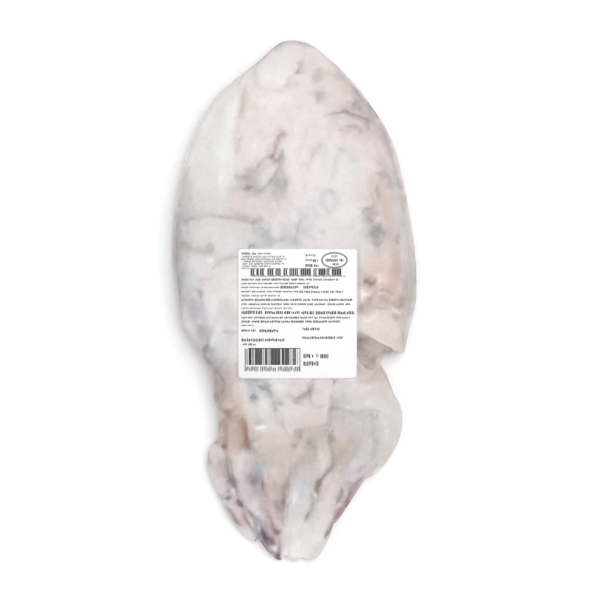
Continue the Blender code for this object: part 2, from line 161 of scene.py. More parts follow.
# Hollow below the mantle's edge, on the right of the neck
POCKET_CENTRE = (0.0500, -0.0345, 0.0190)
POCKET_RADII = (0.0165, 0.0108, 0.0090)
POCKET_TURN = math.radians(-18)
POCKET_SEGMENTS = 64
POCKET_RINGS = 36

# Cross-sections of the lofted bodies: number of points, and how square the underside is
SECTION_POINTS = 150
KEEL = 3.6

# Finish of the skin's mesh
VOXEL = 0.00093
SMOOTHING_STEPS = 33
SMOOTHING_FACTOR = 0.5

# Label
# Its underside lies this gap above what carries it, and relaxes as a sheet over a grid of cells
LABEL_WIDTH = 0.078
LABEL_LENGTH = 0.085
LABEL_CENTRE = (0.0017, -0.0088)
LABEL_THICKNESS = 0.00015
LABEL_GAP = 0.00015
LABEL_CORNER = 0.0022
LABEL_CELLS = (80, 88)
LABEL_RELAX_STEPS = 1500
# The last place on a row of the grid that still has a cell beyond it, counted from its end
LAST_CELL = 1.001

# The photograph: metres for each pixel, the pixel above the origin, and the eye that took it
PIXEL = 0.6718e-3
ORIGIN_PIXEL = (295.0, 300.5)
MIDDLE_PIXEL = 300.0
EYE = (
    (MIDDLE_PIXEL - ORIGIN_PIXEL[0]) * PIXEL,
    (ORIGIN_PIXEL[1] - MIDDLE_PIXEL) * PIXEL,
    0.962,
)
FOCUS = 0.954
SENSOR = 36.0
FRAME_PIXELS = 600

# How brightly the stage lights what faces up, when 1 shows a colour as it is
BRIGHTNESS = 1.18


def read_table(text):
    """Rows of a text table: the name, its words and numbers, and its places. Indented lines go on a row."""
    rows = []
    for line in filter(None, text.replace("\n    ", " ").splitlines()):
        name, rest = line.split(": ")
        words = [word if word.isalpha() else float(word) for word in rest.split() if "," not in word]
        places = [tuple(map(float, word.split(","))) for word in rest.split() if "," in word]
        rows.append((name, words, places))
    return rows


def smooth_curve(knots, values, at):
    """Values at any places between the knots, on a smooth curve that passes through all of them."""
    knots = np.asarray(knots, float)
    values = np.asarray(values, float)
    steps = np.diff(knots)
    slopes = np.diff(values) / steps
    tangents = np.concatenate([slopes[:1], (slopes[:-1] + slopes[1:]) / 2, slopes[-1:]])
    at = np.clip(np.asarray(at, float), knots[0], knots[-1])
    k = np.clip(np.searchsorted(knots, at, side="right") - 1, 0, len(steps) - 1)
    t = (at - knots[k]) / steps[k]
    rise = values[k] * (1 + 2 * t) * (1 - t) ** 2 + values[k + 1] * t**2 * (3 - 2 * t)
    return rise + steps[k] * (tangents[k] * t * (1 - t) ** 2 - tangents[k + 1] * t**2 * (1 - t))


def smooth_line(points, count):
    """Evenly numbered points on a smooth line through a few given ones."""
    points = np.asarray(points, float)
    knots = np.arange(len(points))
    at = np.linspace(0, len(points) - 1, count)
    return np.stack([smooth_curve(knots, points[:, i], at) for i in range(points.shape[1])], axis=1)


def ease(t):
    """A soft step from 0 to 1."""
    t = np.clip(t, 0, 1)
    return t * t * (3 - 2 * t)


def link(name, data):
    """A new object in the scene that holds this data."""
    made = bpy.data.objects.new(name, data)
    bpy.context.scene.collection.objects.link(made)
    return made


def to_object(shell, name):
    """A new object with the mesh that was built in a bmesh, which is freed."""
    mesh = bpy.data.meshes.new(name)
    shell.to_mesh(mesh)
    shell.free()
    return link(name, mesh)


def mesh_object(name, rings):
    """A closed surface through rings of equally many points, with a flat cap on the first and last."""
    shell = bmesh.new()
    loops = [[shell.verts.new(point) for point in ring] for ring in rings]
    for near, far in zip(loops, loops[1:]):
        for i in range(len(near)):
            j = (i + 1) % len(near)
            shell.faces.new((near[i], near[j], far[j], far[i]))
    shell.faces.new(loops[0][::-1])
    shell.faces.new(loops[-1])
    bmesh.ops.recalc_face_normals(shell, faces=shell.faces)
    return to_object(shell, name)


def section(left, right, waist, high, low, arch):
    """x and z round one cross-section: an arched back above the waist, a flat keel below it."""
    angles = np.linspace(0, 2 * math.pi, SECTION_POINTS, endpoint=False)
    across, up = np.cos(angles), np.sin(angles)
    bend = np.where(up > 0, arch, KEEL)
    centre, half = (left + right) / 2, (right - left) / 2
    x = centre + half * np.sign(across) * np.abs(across) ** (2 / bend)
    reach = np.where(up > 0, high - waist, waist - low)
    z = waist + reach * np.sign(up) * np.abs(up) ** (2 / bend)
    return x, z


def mantle_edges(distance):
    """Half widths to the left and right, and height, at some distance from the tail end."""
    table = np.asarray(MANTLE_STATIONS)
    root = np.sqrt(table[:, 0])
    at = np.sqrt(distance)
    return [smooth_curve(root, table[:, column], at) for column in (1, 2, 3)]


def margin(x):
    """Distance from the tail end to the mantle's open edge, at some place across the neck."""
    table = np.asarray(MARGIN)
    return smooth_curve(table[:, 0], table[:, 1], x)


def fin_shows(side, distance):
    """How far the fin reaches past the mantle's flank, at some distance from the tail end."""
    grows = ease(distance / FIN_GROWS)
    fades = 1 - ease((distance - FIN_FADES[side]) / (FIN_STOPS[side] - FIN_FADES[side]))
    return (FIN_SHOWS[side] - FIN_LEAST) * grows * fades + FIN_LEAST * grows


def make_mantle():
    """The mantle, lofted from its tail end to its open edge, which is rounded."""
    rings = []
    for t in np.linspace(FIRST_RING, 1, MANTLE_RINGS):
        distance = MANTLE_LENGTH * t**RING_CROWDING
        left, right, high = mantle_edges(distance)
        to_end = MANTLE_LENGTH - distance
        if to_end < LIP_ROUNDING:
            drop = LIP_ROUNDING - math.sqrt(LIP_ROUNDING**2 - (LIP_ROUNDING - to_end) ** 2)
        else:
            drop = 0.0
        corner = drop * LIP_CORNER / LIP_ROUNDING
        left_x = MANTLE_AXIS_X - left + fin_shows("left", distance) + corner
        right_x = MANTLE_AXIS_X + right - fin_shows("right", distance) - corner
        low = TAIL_TUCK * max(0, 1 - distance / TAIL_TUCK_REACH) - BELOW
        x, z = section(left_x, right_x, MANTLE_WAIST, high - drop, low + drop, MANTLE_ARCH)
        follow = ease((distance - (MANTLE_LENGTH - MARGIN_REACH)) / MARGIN_REACH)
        y = TAIL_Y - distance - (margin(x) - MANTLE_LENGTH) * follow
        rings.append(np.stack([x, y, z], axis=1))
    return mesh_object("mantle", rings)


def make_fin(side):
    """The thin fin that hugs one side of the mantle."""
    sign = -1 if side == "left" else 1
    distances = np.linspace(FIN_START, FIN_STOPS[side], FIN_RINGS)
    left, right, _ = mantle_edges(distances)
    edge = left if side == "left" else right
    angles = np.linspace(0, 2 * math.pi, FIN_SECTION_POINTS, endpoint=False)
    rings = []
    for distance, reach in zip(distances, edge):
        shows = fin_shows(side, distance)
        size = 0.5 + 0.5 * ease((shows - FIN_LEAST) / FIN_LEAST)
        wave = FIN_WAVE * math.sin(2 * math.pi * distance / FIN_WAVE_LENGTH)
        middle = MANTLE_AXIS_X + sign * (reach - FIN_HALF_WIDTH * size)
        x = middle + FIN_HALF_WIDTH * size * np.cos(angles)
        z = FIN_HEIGHT + wave + FIN_HALF_THICKNESS * size * np.sin(angles)
        rings.append(np.stack([x, np.full_like(x, TAIL_Y - distance), z], axis=1))
    return mesh_object("fin_" + side, rings)


def make_slab(name, stations, waist):
    """A low body lofted through sections that each have a left edge, a right edge and a height."""
    table = np.asarray(stations)
    rings = []
    for y in np.linspace(table[0, 0], table[-1, 0], SLAB_RINGS):
        left, right, high = (smooth_curve(-table[:, 0], table[:, c], -y) for c in (1, 2, 3))
        x, z = section(left, right, waist, high, -BELOW, SLAB_ARCH)
        rings.append(np.stack([x, np.full_like(x, y), z], axis=1))
    return mesh_object(name, rings)


def make_limb(name, stations, flatness, lift):
    """A round tapering limb that lies on the table along its line, with rounded ends."""
    path = smooth_line(stations, LIMB_RINGS)
    angles = np.linspace(0, 2 * math.pi, SECTION_POINTS // 2, endpoint=False)
    tangents = np.gradient(path[:, :2], axis=0)
    tangents /= np.linalg.norm(tangents, axis=1, keepdims=True)
    rings = []
    for t, (x, y, width), along in zip(np.linspace(0, 1, LIMB_RINGS), path, tangents):
        end = min(t, 1 - t) / LIMB_END
        if end < 1:
            width *= LIMB_TIP + (1 - LIMB_TIP) * math.sqrt(1 - (1 - end) ** 2)
        crown = width * flatness
        height = crown + lift * (1 - t) - SINK
        across = width * np.cos(angles)
        up = height + crown * np.sin(angles)
        rings.append(np.stack([x + along[1] * across, y - along[0] * across, up], axis=1))
    return mesh_object(name, rings)


def make_pocket():
    """The rounded body that is cut out below the mantle's edge."""
    bpy.ops.mesh.primitive_uv_sphere_add(
        segments=POCKET_SEGMENTS, ring_count=POCKET_RINGS, radius=1, location=(0, 0, 0)
    )
    pocket = bpy.context.object
    pocket.name = "pocket"
    turn = Euler((0, 0, POCKET_TURN))
    pocket.data.transform(Matrix.LocRotScale(Vector(POCKET_CENTRE), turn, Vector(POCKET_RADII)))
    return pocket


def evaluated_copy(thing, name):
    """A new object that holds the mesh as its modifiers leave it."""
    graph = bpy.context.evaluated_depsgraph_get()
    mesh = bpy.data.meshes.new_from_object(thing.evaluated_get(graph))
    mesh.name = name
    return link(name, mesh)


def fuse(pieces, pocket):
    """One solid of all the pieces, less the pocket."""
    joined = bpy.data.collections.new("joined")
    bpy.context.scene.collection.children.link(joined)
    first, *others = pieces
    for other in others:
        bpy.context.scene.collection.objects.unlink(other)
        joined.objects.link(other)
    union = first.modifiers.new("union", "BOOLEAN")
    union.operation = "UNION"
    union.operand_type = "COLLECTION"
    union.collection = joined
    less = first.modifiers.new("pocket", "BOOLEAN")
    less.operation = "DIFFERENCE"
    less.object = pocket
    union.solver = less.solver = "MANIFOLD"
    fused = evaluated_copy(first, "fused")
    for piece in [*pieces, pocket]:
        bpy.data.objects.remove(piece)
    bpy.data.collections.remove(joined)
    return fused


def soften(fused, name):
    """The fused pieces with their seams blended into one fine skin."""
    skin = fused.modifiers.new("skin", "REMESH")
    skin.mode = "VOXEL"
    skin.voxel_size = VOXEL
    blend = fused.modifiers.new("blend", "SMOOTH")
    blend.factor = SMOOTHING_FACTOR
    blend.iterations = SMOOTHING_STEPS
    soft = evaluated_copy(fused, name)
    bpy.data.objects.remove(fused)
    return soft


def flatten_underside(thing):
    """Cuts the skin level with the table. The flat face that closes it takes the second material."""
    shell = bmesh.new()
    shell.from_mesh(thing.data)
    everything = shell.verts[:] + shell.edges[:] + shell.faces[:]
    cut = bmesh.ops.bisect_plane(
        shell, geom=everything, plane_co=(0, 0, 0), plane_no=(0, 0, 1), clear_inner=True
    )
    drop_scraps(shell)
    rim = [item for item in cut["geom_cut"] if isinstance(item, bmesh.types.BMEdge) and item.is_valid]
    for face in bmesh.ops.edgeloop_fill(shell, edges=rim)["faces"]:
        face.material_index = 1
    bmesh.ops.triangulate(shell, faces=[face for face in shell.faces if face.material_index == 1])
    bmesh.ops.recalc_face_normals(shell, faces=shell.faces)
    shell.to_mesh(thing.data)
    shell.free()


def drop_scraps(shell):
    """Keeps the largest connected body and deletes any loose scrap beside it."""
    left = set(shell.verts)
    islands = []
    while left:
        island = [left.pop()]
        for vert in island:
            near = {other for edge in vert.link_edges for other in edge.verts} & left
            left -= near
            island.extend(near)
        islands.append(island)
    islands.sort(key=len)
    scraps = [vert for island in islands[:-1] for vert in island]
    bmesh.ops.delete(shell, geom=scraps, context="VERTS")


# Noise and strokes

# Noise takes its values from a list of this length, at places mixed up by these primes
NOISE_VALUES = 4096
NOISE_PRIMES = (73856093, 19349663, 83492791)
NOISE_OCTAVES = 3


def noise(points, size, seed):
    """Smooth random values from -1 to 1 that change over about this size."""
    values = np.random.default_rng(seed).uniform(-1, 1, NOISE_VALUES)
    cells = np.asarray(points, float) / size
    low = np.floor(cells).astype(np.int64)
    t = cells - low
    t = t * t * (3 - 2 * t)
    total = np.zeros(len(cells))
    for corner in itertools.product((0, 1), repeat=cells.shape[1]):
        key = np.zeros(len(cells), np.int64)
        weight = np.ones(len(cells))
        for axis, step in enumerate(corner):
            key ^= (low[:, axis] + step) * NOISE_PRIMES[axis]
            weight *= t[:, axis] if step else 1 - t[:, axis]
        total += weight * values[key % NOISE_VALUES]
    return total


def rough_noise(points, size, seed, octaves=NOISE_OCTAVES):
    """Noise with finer detail on top, from about -1 to 1."""
    total = sum(noise(points, size / 2**i, seed + i) / 2**i for i in range(octaves))
    return total / sum(1 / 2**i for i in range(octaves))


class Canvas:
    """The skin's points as the photograph's eye sees them, to sculpt and paint on."""

    def __init__(self, thing):
        mesh = thing.data
        self.mesh = mesh
        self.places = np.empty(len(mesh.vertices) * 3)
        mesh.vertices.foreach_get("co", self.places)
        self.places = self.places.reshape(-1, 3)
        self.look()

    def look(self):
        """Works out the normals and the pixel at which the eye sees each point."""
        self.mesh.vertices.foreach_set("co", self.places.ravel())
        self.mesh.update()
        normals = np.empty(len(self.places) * 3)
        self.mesh.vertex_normals.foreach_get("vector", normals)
        self.normals = normals.reshape(-1, 3)
        depth = EYE[2] - self.places[:, 2]
        x = MIDDLE_PIXEL + (self.places[:, 0] - EYE[0]) / PIXEL * FOCUS / depth
        y = MIDDLE_PIXEL - (self.places[:, 1] - EYE[1]) / PIXEL * FOCUS / depth
        self.pixels = np.stack([x, y], axis=1)

    def near(self, line, reach):
        """Indices of the points within reach of a line's box, in pixels."""
        low = line.min(axis=0) - reach
        high = line.max(axis=0) + reach
        return np.nonzero(((self.pixels > low) & (self.pixels < high)).all(axis=1))[0]


def nearest_on_line(points, line):
    """Distance from each point to a line of straight runs, and the share of the line up to there."""
    nearest = np.full(len(points), np.inf)
    place = np.zeros(len(points))
    for i, (a, b) in enumerate(zip(line, line[1:])):
        run = b - a
        offset = points - a
        t = np.clip((offset @ run) / (run @ run), 0, 1)
        gap = np.linalg.norm(offset - t[:, None] * run, axis=1)
        closer = gap < nearest
        nearest[closer] = gap[closer]
        place[closer] = (i + t[closer]) / (len(line) - 1)
    return nearest, place


# A stroke has a core, a wider halo, ends that taper to a point, and a width that varies
STROKE_RUNS = 6
STROKE_REACH, STROKE_MARGIN = 4, 3
STROKE_UNEVEN, STROKE_UNEVEN_SIZE, STROKE_SEED = 0.35, 8.0, 201
STROKE_HALO = 0.32
STROKE_HALO_REACH = 2.6
STROKE_TAPER = 0.30
STROKE_POINT = 0.22

# A patch has a soft edge, and a cover that varies
PATCH_RUNS = 5
PATCH_REACH = 2
PATCH_EVEN, PATCH_MOST = 0.92, 1.2
PATCH_UNEVEN, PATCH_UNEVEN_SIZE, PATCH_SEED = 0.35, 11.0, 211
# An outline's run that rises less than this counts as level
LEVEL = 1e-9


def stroke(canvas, points, width, wobble):
    """Indices and strengths of the points under an uneven stroke of this half width, in pixels."""
    line = smooth_line(points, STROKE_RUNS * len(points))
    index = canvas.near(line, width * STROKE_REACH + STROKE_MARGIN)
    at = canvas.pixels[index]
    gap, place = nearest_on_line(at + wobble[index], line)
    taper = STROKE_POINT + (1 - STROKE_POINT) * ease(np.minimum(place, 1 - place) / STROKE_TAPER)
    width = width * taper * (1 + STROKE_UNEVEN * noise(at, STROKE_UNEVEN_SIZE, STROKE_SEED))
    core = np.exp(-((gap / width) ** 2))
    halo = STROKE_HALO * np.exp(-((gap / (STROKE_HALO_REACH * width)) ** 2))
    return index, core + halo * (1 - core)


def patch(canvas, outline, soft, wobble):
    """Indices and cover of the points under a patch with this smooth outline and soft edge, in pixels."""
    points = list(outline) + [outline[0]]
    line = smooth_line(points, PATCH_RUNS * len(points))
    index = canvas.near(line, soft * PATCH_REACH)
    at = canvas.pixels[index] + wobble[index]
    gap, _ = nearest_on_line(at, line)
    inside = np.zeros(len(at), bool)
    for a, b in zip(line, line[1:]):
        crosses = (a[1] > at[:, 1]) != (b[1] > at[:, 1])
        rise = b[1] - a[1] if abs(b[1] - a[1]) > LEVEL else LEVEL
        inside ^= crosses & (at[:, 0] < (b[0] - a[0]) * (at[:, 1] - a[1]) / rise + a[0])
    cover = ease(0.5 + np.where(inside, gap, -gap) / (2 * soft))
    uneven = PATCH_EVEN + PATCH_UNEVEN * noise(at, PATCH_UNEVEN_SIZE, PATCH_SEED)
    return index, cover * np.clip(uneven, 0, PATCH_MOST)


# Folds and creases, one to a line: name, half width, depth in millimetres (up is positive), and places
FOLDS = """
membrane edge: 4.5 -0.45 247,66 242,88 240,110 236,138 234,165 236,182
strip crown: 9 0.5 229,88 226,120 222,150 218,185
side fold top: 4.5 0.9 185,225 200,221 225,222 250,227 264,226
side fold groove: 2.4 -0.7 184,220 200,214 225,214 250,220 262,219
lower fold: 4 -1 174,240 188,247 205,252 218,251
lower crease: 3 -0.5 212,268 225,260 240,257
hook: 2.2 -0.45 287,132 280,133 275,142 272,155 265,160 256,167
pocket loop: 2.4 -0.5 240,187 249,189 258,190 267,188 277,178 283,160
pocket side: 2.2 -0.45 283,157 281,168 286,178 284,192
pocket bulge: 7 0.6 262,174 272,168 276,163
tail right wrinkle: 2.2 -0.6 328,113 344,111 357,117 369,123 376,130
tail right wrinkle low: 2.2 -0.4 345,126 358,128 364,134
tail right ridge: 4 0.4 340,119 355,122 366,129
tail edge dimples: 3 -0.5 352,96 360,106 372,112
right band line: 3 -0.6 399,205 402,235 403,265 402,300
right dimple one: 5 -0.6 366,210 370,217
right dimple two: 5 -0.7 374,228 380,236
collar line: 3.2 -0.9 357,303 370,307 385,309 404,306
collar swell: 10 0.7 366,322 382,326 398,330
left crease: 3 -0.5 200,298 204,320 207,345
left lower crease: 2.5 -0.7 207,338 203,352 212,366 222,380
neck line: 2.6 -1.3 333,378 332,400 330,420 333,438
neck line low: 2.4 -1 332,432 334,455 328,470 320,480 315,493
pouch line: 2.4 -0.6 334,409 350,411 366,412 380,412
pouch strip: 3.5 -0.6 376,414 378,435 376,455 366,470
pouch crown: 9 0.6 352,422 354,440 352,455
funnel low edge: 3 -0.9 288,430 296,427 312,428 328,426
funnel left edge: 2.6 -0.7 272,384 276,400 284,418 290,430
funnel mark: 2.2 -0.6 313,384 307,393 297,402
head ridges: 2.2 -0.6 250,384 254,398
head ridges right: 2.4 -0.6 262,384 272,394 280,412
eye cut: 3 -1.2 242,418 248,430 250,444
arm root left: 3 -0.8 252,448 262,462 268,480
flap crease: 2.4 -0.9 226,448 230,470 237,492 246,512 256,532 264,545
second arm crease: 2.2 -0.65 262,476 266,500 273,520 281,534
third arm crease: 2.2 -0.25 288,466 288,490 286,512 284,530
centre crease: 2 -0.8 313,493 311,507 304,520
edge crease: 2.2 -0.9 345,480 340,497 335,512
"""

# Tones, as they show in even light, where 255 is white. Glints go above it.
# Glow, past white, is painted light: painted glints, and skin lightened where the stage leaves it in shade.
TONES = {
    "flesh": (232, 223, 220),
    "pink": (247, 231, 231),
    "rose": (236, 223, 216),
    "blush": (207, 195, 179),
    "coral": (208, 177, 168),
    "cream": (236, 247, 241),
    "white": (254, 251, 264),
    "sand": (216, 199, 200),
    "tan": (228, 205, 189),
    "mist": (239, 235, 229),
    "leaf": (213, 215, 208),
    "lilac": (224, 219, 228),
    "lavender": (190, 195, 206),
    "violet": (153, 141, 159),
    "slate": (188, 196, 203),
    "steel": (147, 152, 154),
    "mauve": (185, 167, 166),
    "grey": (162, 160, 158),
    "olive": (168, 160, 144),
    "clay": (199, 174, 163),
    "rust": (180, 149, 139),
    "brown": (124, 105, 102),
    "umber": (92, 71, 59),
    "brick": (143, 114, 107),
    "maroon": (119, 69, 56),
    "wine": (118, 83, 90),
    "plum": (110, 97, 105),
    "ink": (77, 73, 74),
    "black": (49, 13, 38),
    "glow": (272, 270, 268),
    "dove": (194, 187, 188),
}

# Patches of colour, one to a line: name, tone, strength, softness, and the corners of the outline
# On the tail, the belly and the right side
PATCHES = """
smooth strip: glow 0.19 7 236,64 222,80 222,96 221,130 218,182 212,202 189,212 162,212 160,196 170,160
    186,122 208,90
strip leaf: leaf 0.41 6 218,104 222,102 218,142 212,202 188,184 200,132
strip crest: cream 0.58 4.8 228,108 230,106 231,140 219,194 226,196 216,138
strip low: violet 0.18 8 182,190 226,192 228,210 202,216 178,218
cream tail: glow 0.22 19 262,74 276,65 292,66 293,84 286,100 264,98
tan membrane: tan 0.22 6.2 235,86 252,88 264,100 264,132 242,130 236,112
tail rose: rust 0.11 7.5 304,54 328,56 356,88 362,110 334,120 316,102
tail clay: clay 0.27 3.8 336,76 352,84 348,93 342,93
tail sand: white 0.14 6.9 309,54 324,60 324,80 310,90
strong pink: glow 0.15 4 234,142 260,140 270,158 252,167 230,170
right upper rose: rust 0.11 17.2 324,134 362,132 374,154 362,184 346,164
middle leaf: slate 0.36 11.8 318,140 350,146 362,160 354,182 334,168 320,158
middle lilac: lavender 0.23 17.2 324,164 346,182 358,200 356,226 306,228 304,200 316,182
middle low: steel 0.14 9.4 316,228 366,226 364,252 316,254
flank mauve: mauve 0.33 6 378,154 390,160 402,184 408,204 388,196 378,180
flank blush: mauve 0.43 12.2 360,174 376,178 376,208 366,210 358,196
flank clay: clay 0.43 6.2 370,182 388,180 394,200 386,216 374,202
flank coral: rust 0.28 6.2 382,202 392,206 400,242 396,258 384,242 380,220
flank grey: steel 0.25 9.8 372,236 386,234 388,256 372,252
beside label: black 0.2 7.8 366,252 378,254 376,280 363,282
flank tan: tan 0.7 4 370,258 388,256 388,284 372,282 366,266
flank red: coral 0.6 4 390,254 399,256 402,278 398,290 390,286
mottled: coral 0.6 5 366,284 396,282 401,302 382,304 366,302
mottled left: brick 0.41 4.8 363,304 371,302 373,314 361,316
"""
# On the collar and the gap below it. The gap's dark patches are partly painted shade of the hollow, and the
# collar's low patch is painted light where its edge shades the gap.
PATCHES += """
collar: rust 0.16 3.2 359,306 378,300 404,304 407,342 394,348 359,327
collar left: glow 0.26 2.6 362,314 368,320 378,342 365,334
collar tan: coral 0.36 3.2 376,302 402,302 402,320 388,318
collar low: glow 0.84 4 352,340 386,344 388,350 370,352
gap left: umber 0.29 4 354,335 362,336 366,354 360,368 354,368
gap right: maroon 0.21 6.2 369,350 388,360 380,368 378,378 368,378
gap low: rust 0.28 4 357,368 378,368 386,378 382,384 359,382
"""
# On the left side
PATCHES += """
fold upper: wine 0.06 6.2 226,190 274,196 276,210 264,224 226,218
fold upper sand: glow 0.22 5 248,188 274,186 272,198 248,204
blue pool: slate 0.28 7.8 184,218 222,214 228,244 206,250 180,242
blue pool right: slate 0.26 5 224,214 252,220 256,238 236,258 222,244
slate above label: slate 0.72 3 258,224 271,224 276,248 258,248
above label right: lavender 0.42 5 280,224 310,216 312,246 280,246
left under: lavender 0.21 5 184,254 210,250 240,258 240,284 208,292 184,270
left slate: slate 0.55 4 174,265 196,269 200,288 178,286
left pale: glow 0.16 3.8 226,276 254,272 254,302 226,302
left pink: violet 0.26 4 220,302 232,296 235,322 220,318
left lilac: white 0.43 2.1 188,294 218,296 216,312 204,338 196,340 183,316
left violet: violet 0.49 5 185,301 197,299 198,324 192,324
left steel: violet 0.52 4 198,297 204,302 208,326 206,334 198,320
left lavender: slate 0.44 6 198,310 228,324 229,374 200,352 196,332
"""
# On the neck, the head, the eye and the web
PATCHES += """
lobe: ink 0.22 3.2 198,326 213,328 210,344 202,342
neck lilac: black 0.11 9.8 190,346 218,352 220,374 198,370
neck blush: black 0.16 5 218,362 240,364 240,382 226,382
head edge: brown 0.31 5 213,366 228,372 229,404 224,412 215,396
head clay: clay 0.67 2 219,374 232,378 234,402 224,400
head pink: coral 0.39 2.6 229,380 237,382 244,406 233,402
head lilac: violet 0.29 3 244,374 257,374 260,404 250,400
head slate: slate 0.56 2.4 246,378 268,379 273,396 262,400 250,402
head leaf: steel 0.25 5 266,398 276,398 284,420 280,424 268,420
head pale: glow 0.28 2.1 270,368 286,370 288,388 274,390
head mauve: black 0.13 4 270,398 282,396 284,426 274,424
eye orange: clay 0.88 5 225,406 240,406 245,422 244,452 224,452 222,426
eye lobe: brick 0.3 6.2 218,410 228,408 227,432 220,428
eye pale: glow 0.95 2 245,430 251,424 254,456 251,448
web pink: rust 0.15 4 256,432 294,434 292,452 260,452
web tan: blush 0.52 5 262,446 306,444 304,464 286,478 264,472
web mauve: umber 0.41 6.2 248,446 258,446 262,474 250,468
web grey: olive 0.57 6.2 302,440 320,438 320,470 304,472
web pale: rose 0.79 3 318,440 325,440 324,456 316,458
"""
# On the funnel and the pouch
PATCHES += """
funnel blush: coral 0.19 6.2 302,414 332,410 328,436 302,434
pouch leaf: slate 0.28 7.8 339,388 370,398 372,418 339,414
pouch sand: olive 0.25 6.2 372,386 386,386 388,414 368,412
pouch grey: grey 0.29 4 334,414 374,416 376,436 334,436
pouch mauve: plum 0.27 6.2 348,438 366,440 372,466 354,458
pouch clay: olive 0.47 5 335,440 350,442 348,464 336,464
pouch rim: slate 0.21 3.2 394,386 404,394 403,426 390,444 388,432
pouch low: leaf 0.85 5 360,444 376,440 374,460 358,460
low lavender: violet 0.29 6.2 340,464 362,464 352,480 342,490
"""
# On the other arms. The centre end patch is painted light, on arm ends that the stage leaves in shade.
PATCHES += """
flap: mauve 0.4 4 210,464 226,460 226,492 218,494
flap lilac: dove 0.48 4 212,474 228,476 238,498 222,500
flap blush: coral 0.31 3 228,512 242,508 252,530 248,536 232,524
flap end: glow 0.21 4 222,504 238,520 248,522 258,536 240,534
second leaf: white 0.4 2.4 237,452 256,456 254,468 238,474
second rose: rose 0.35 2 226,436 238,438 236,464 229,462
second lavender: violet 0.52 7.8 246,474 263,478 264,494 250,496
second low: brown 0.23 3 256,498 270,500 272,514 258,510
third left: violet 0.3 9.8 262,456 276,466 276,504 272,518 262,500 258,474
third: rust 0.6 4 264,476 285,476 286,510 280,530 268,512
third brick: plum 0.4 2.1 272,502 286,500 286,522 277,520
third low: glow 0.12 3.8 264,506 278,508 282,526 274,522
tip violet: violet 0.48 2.4 256,514 270,516 280,536 276,548 262,540
tip mauve: sand 0.79 2.4 264,518 281,522 284,536 276,556 274,544
centre blue: white 0.35 5 286,462 298,458 298,492 284,494
centre lavender: lavender 0.63 5 290,486 308,482 308,500 290,502
centre top: dove 0.58 5 292,466 322,466 320,486 294,482
centre low: lavender 0.19 4 300,502 322,514 326,542 294,538
centre end: glow 0.36 4 282,542 322,536 306,560 284,562
fifth: mauve 0.4 12.2 332,474 346,476 344,508 338,534 330,534 330,498
fifth root: umber 0.12 5 324,456 340,456 342,474 332,470
"""
# Laid over all of these. The light patches are painted light, on skin that the stage leaves in shade, and
# the shade patches are painted shade.
PATCHES += """
left light: glow 0.26 14 186,120 232,88 238,140 240,200 242,262 240,376 222,378 196,336 180,280 176,200
left light high: glow 0.29 19.5 234,88 260,64 288,60 282,100 260,124 238,134
left light low: glow 0.37 6.4 200,470 214,474 232,504 244,534 226,536 208,504
third light: glow 0.3 4 262,466 272,470 290,484 294,524 284,534 268,504
end light: glow 0.29 5.1 286,524 326,524 320,562 284,562
funnel side light: glow 0.34 5 316,462 334,462 330,476 318,478
pouch foot light: glow 0.37 5 340,490 356,478 380,466 384,472 364,486 346,496
head slate light: glow 0.31 6 250,382 276,382 286,420 272,424 262,404
upper right shade: black 0.12 10 338,110 370,112 384,132 362,138 338,132
squiggle shade: mauve 0.26 12.5 240,174 258,162 274,154 286,178 284,202 258,198 240,194
fin shade: coral 0.24 3 398,228 412,236 414,296 402,300 397,258
collar edge shade: olive 0.63 5 396,316 408,316 406,348 402,344
pouch shade right: dove 0.33 10 376,390 394,400 394,438 384,454 374,438
web shade: steel 0.23 6 302,432 326,422 330,442 314,460 304,458
second shade: plum 0.22 7.8 238,442 254,438 262,464 258,488 246,488 240,464
flap cream: mist 0.35 6 370,312 392,314 402,324 401,336 384,334 372,322
flap warm: tan 0.22 6 372,310 394,312 404,322 404,340 392,336 376,320
cool cloud right: cream 0.16 6 316,222 330,220 332,234 318,237
cool cloud head: cream 0.12 5 256,401 268,401 269,413 257,413
lilac cloud left: lilac 0.4 5 226,334 234,335 235,349 227,349
"""

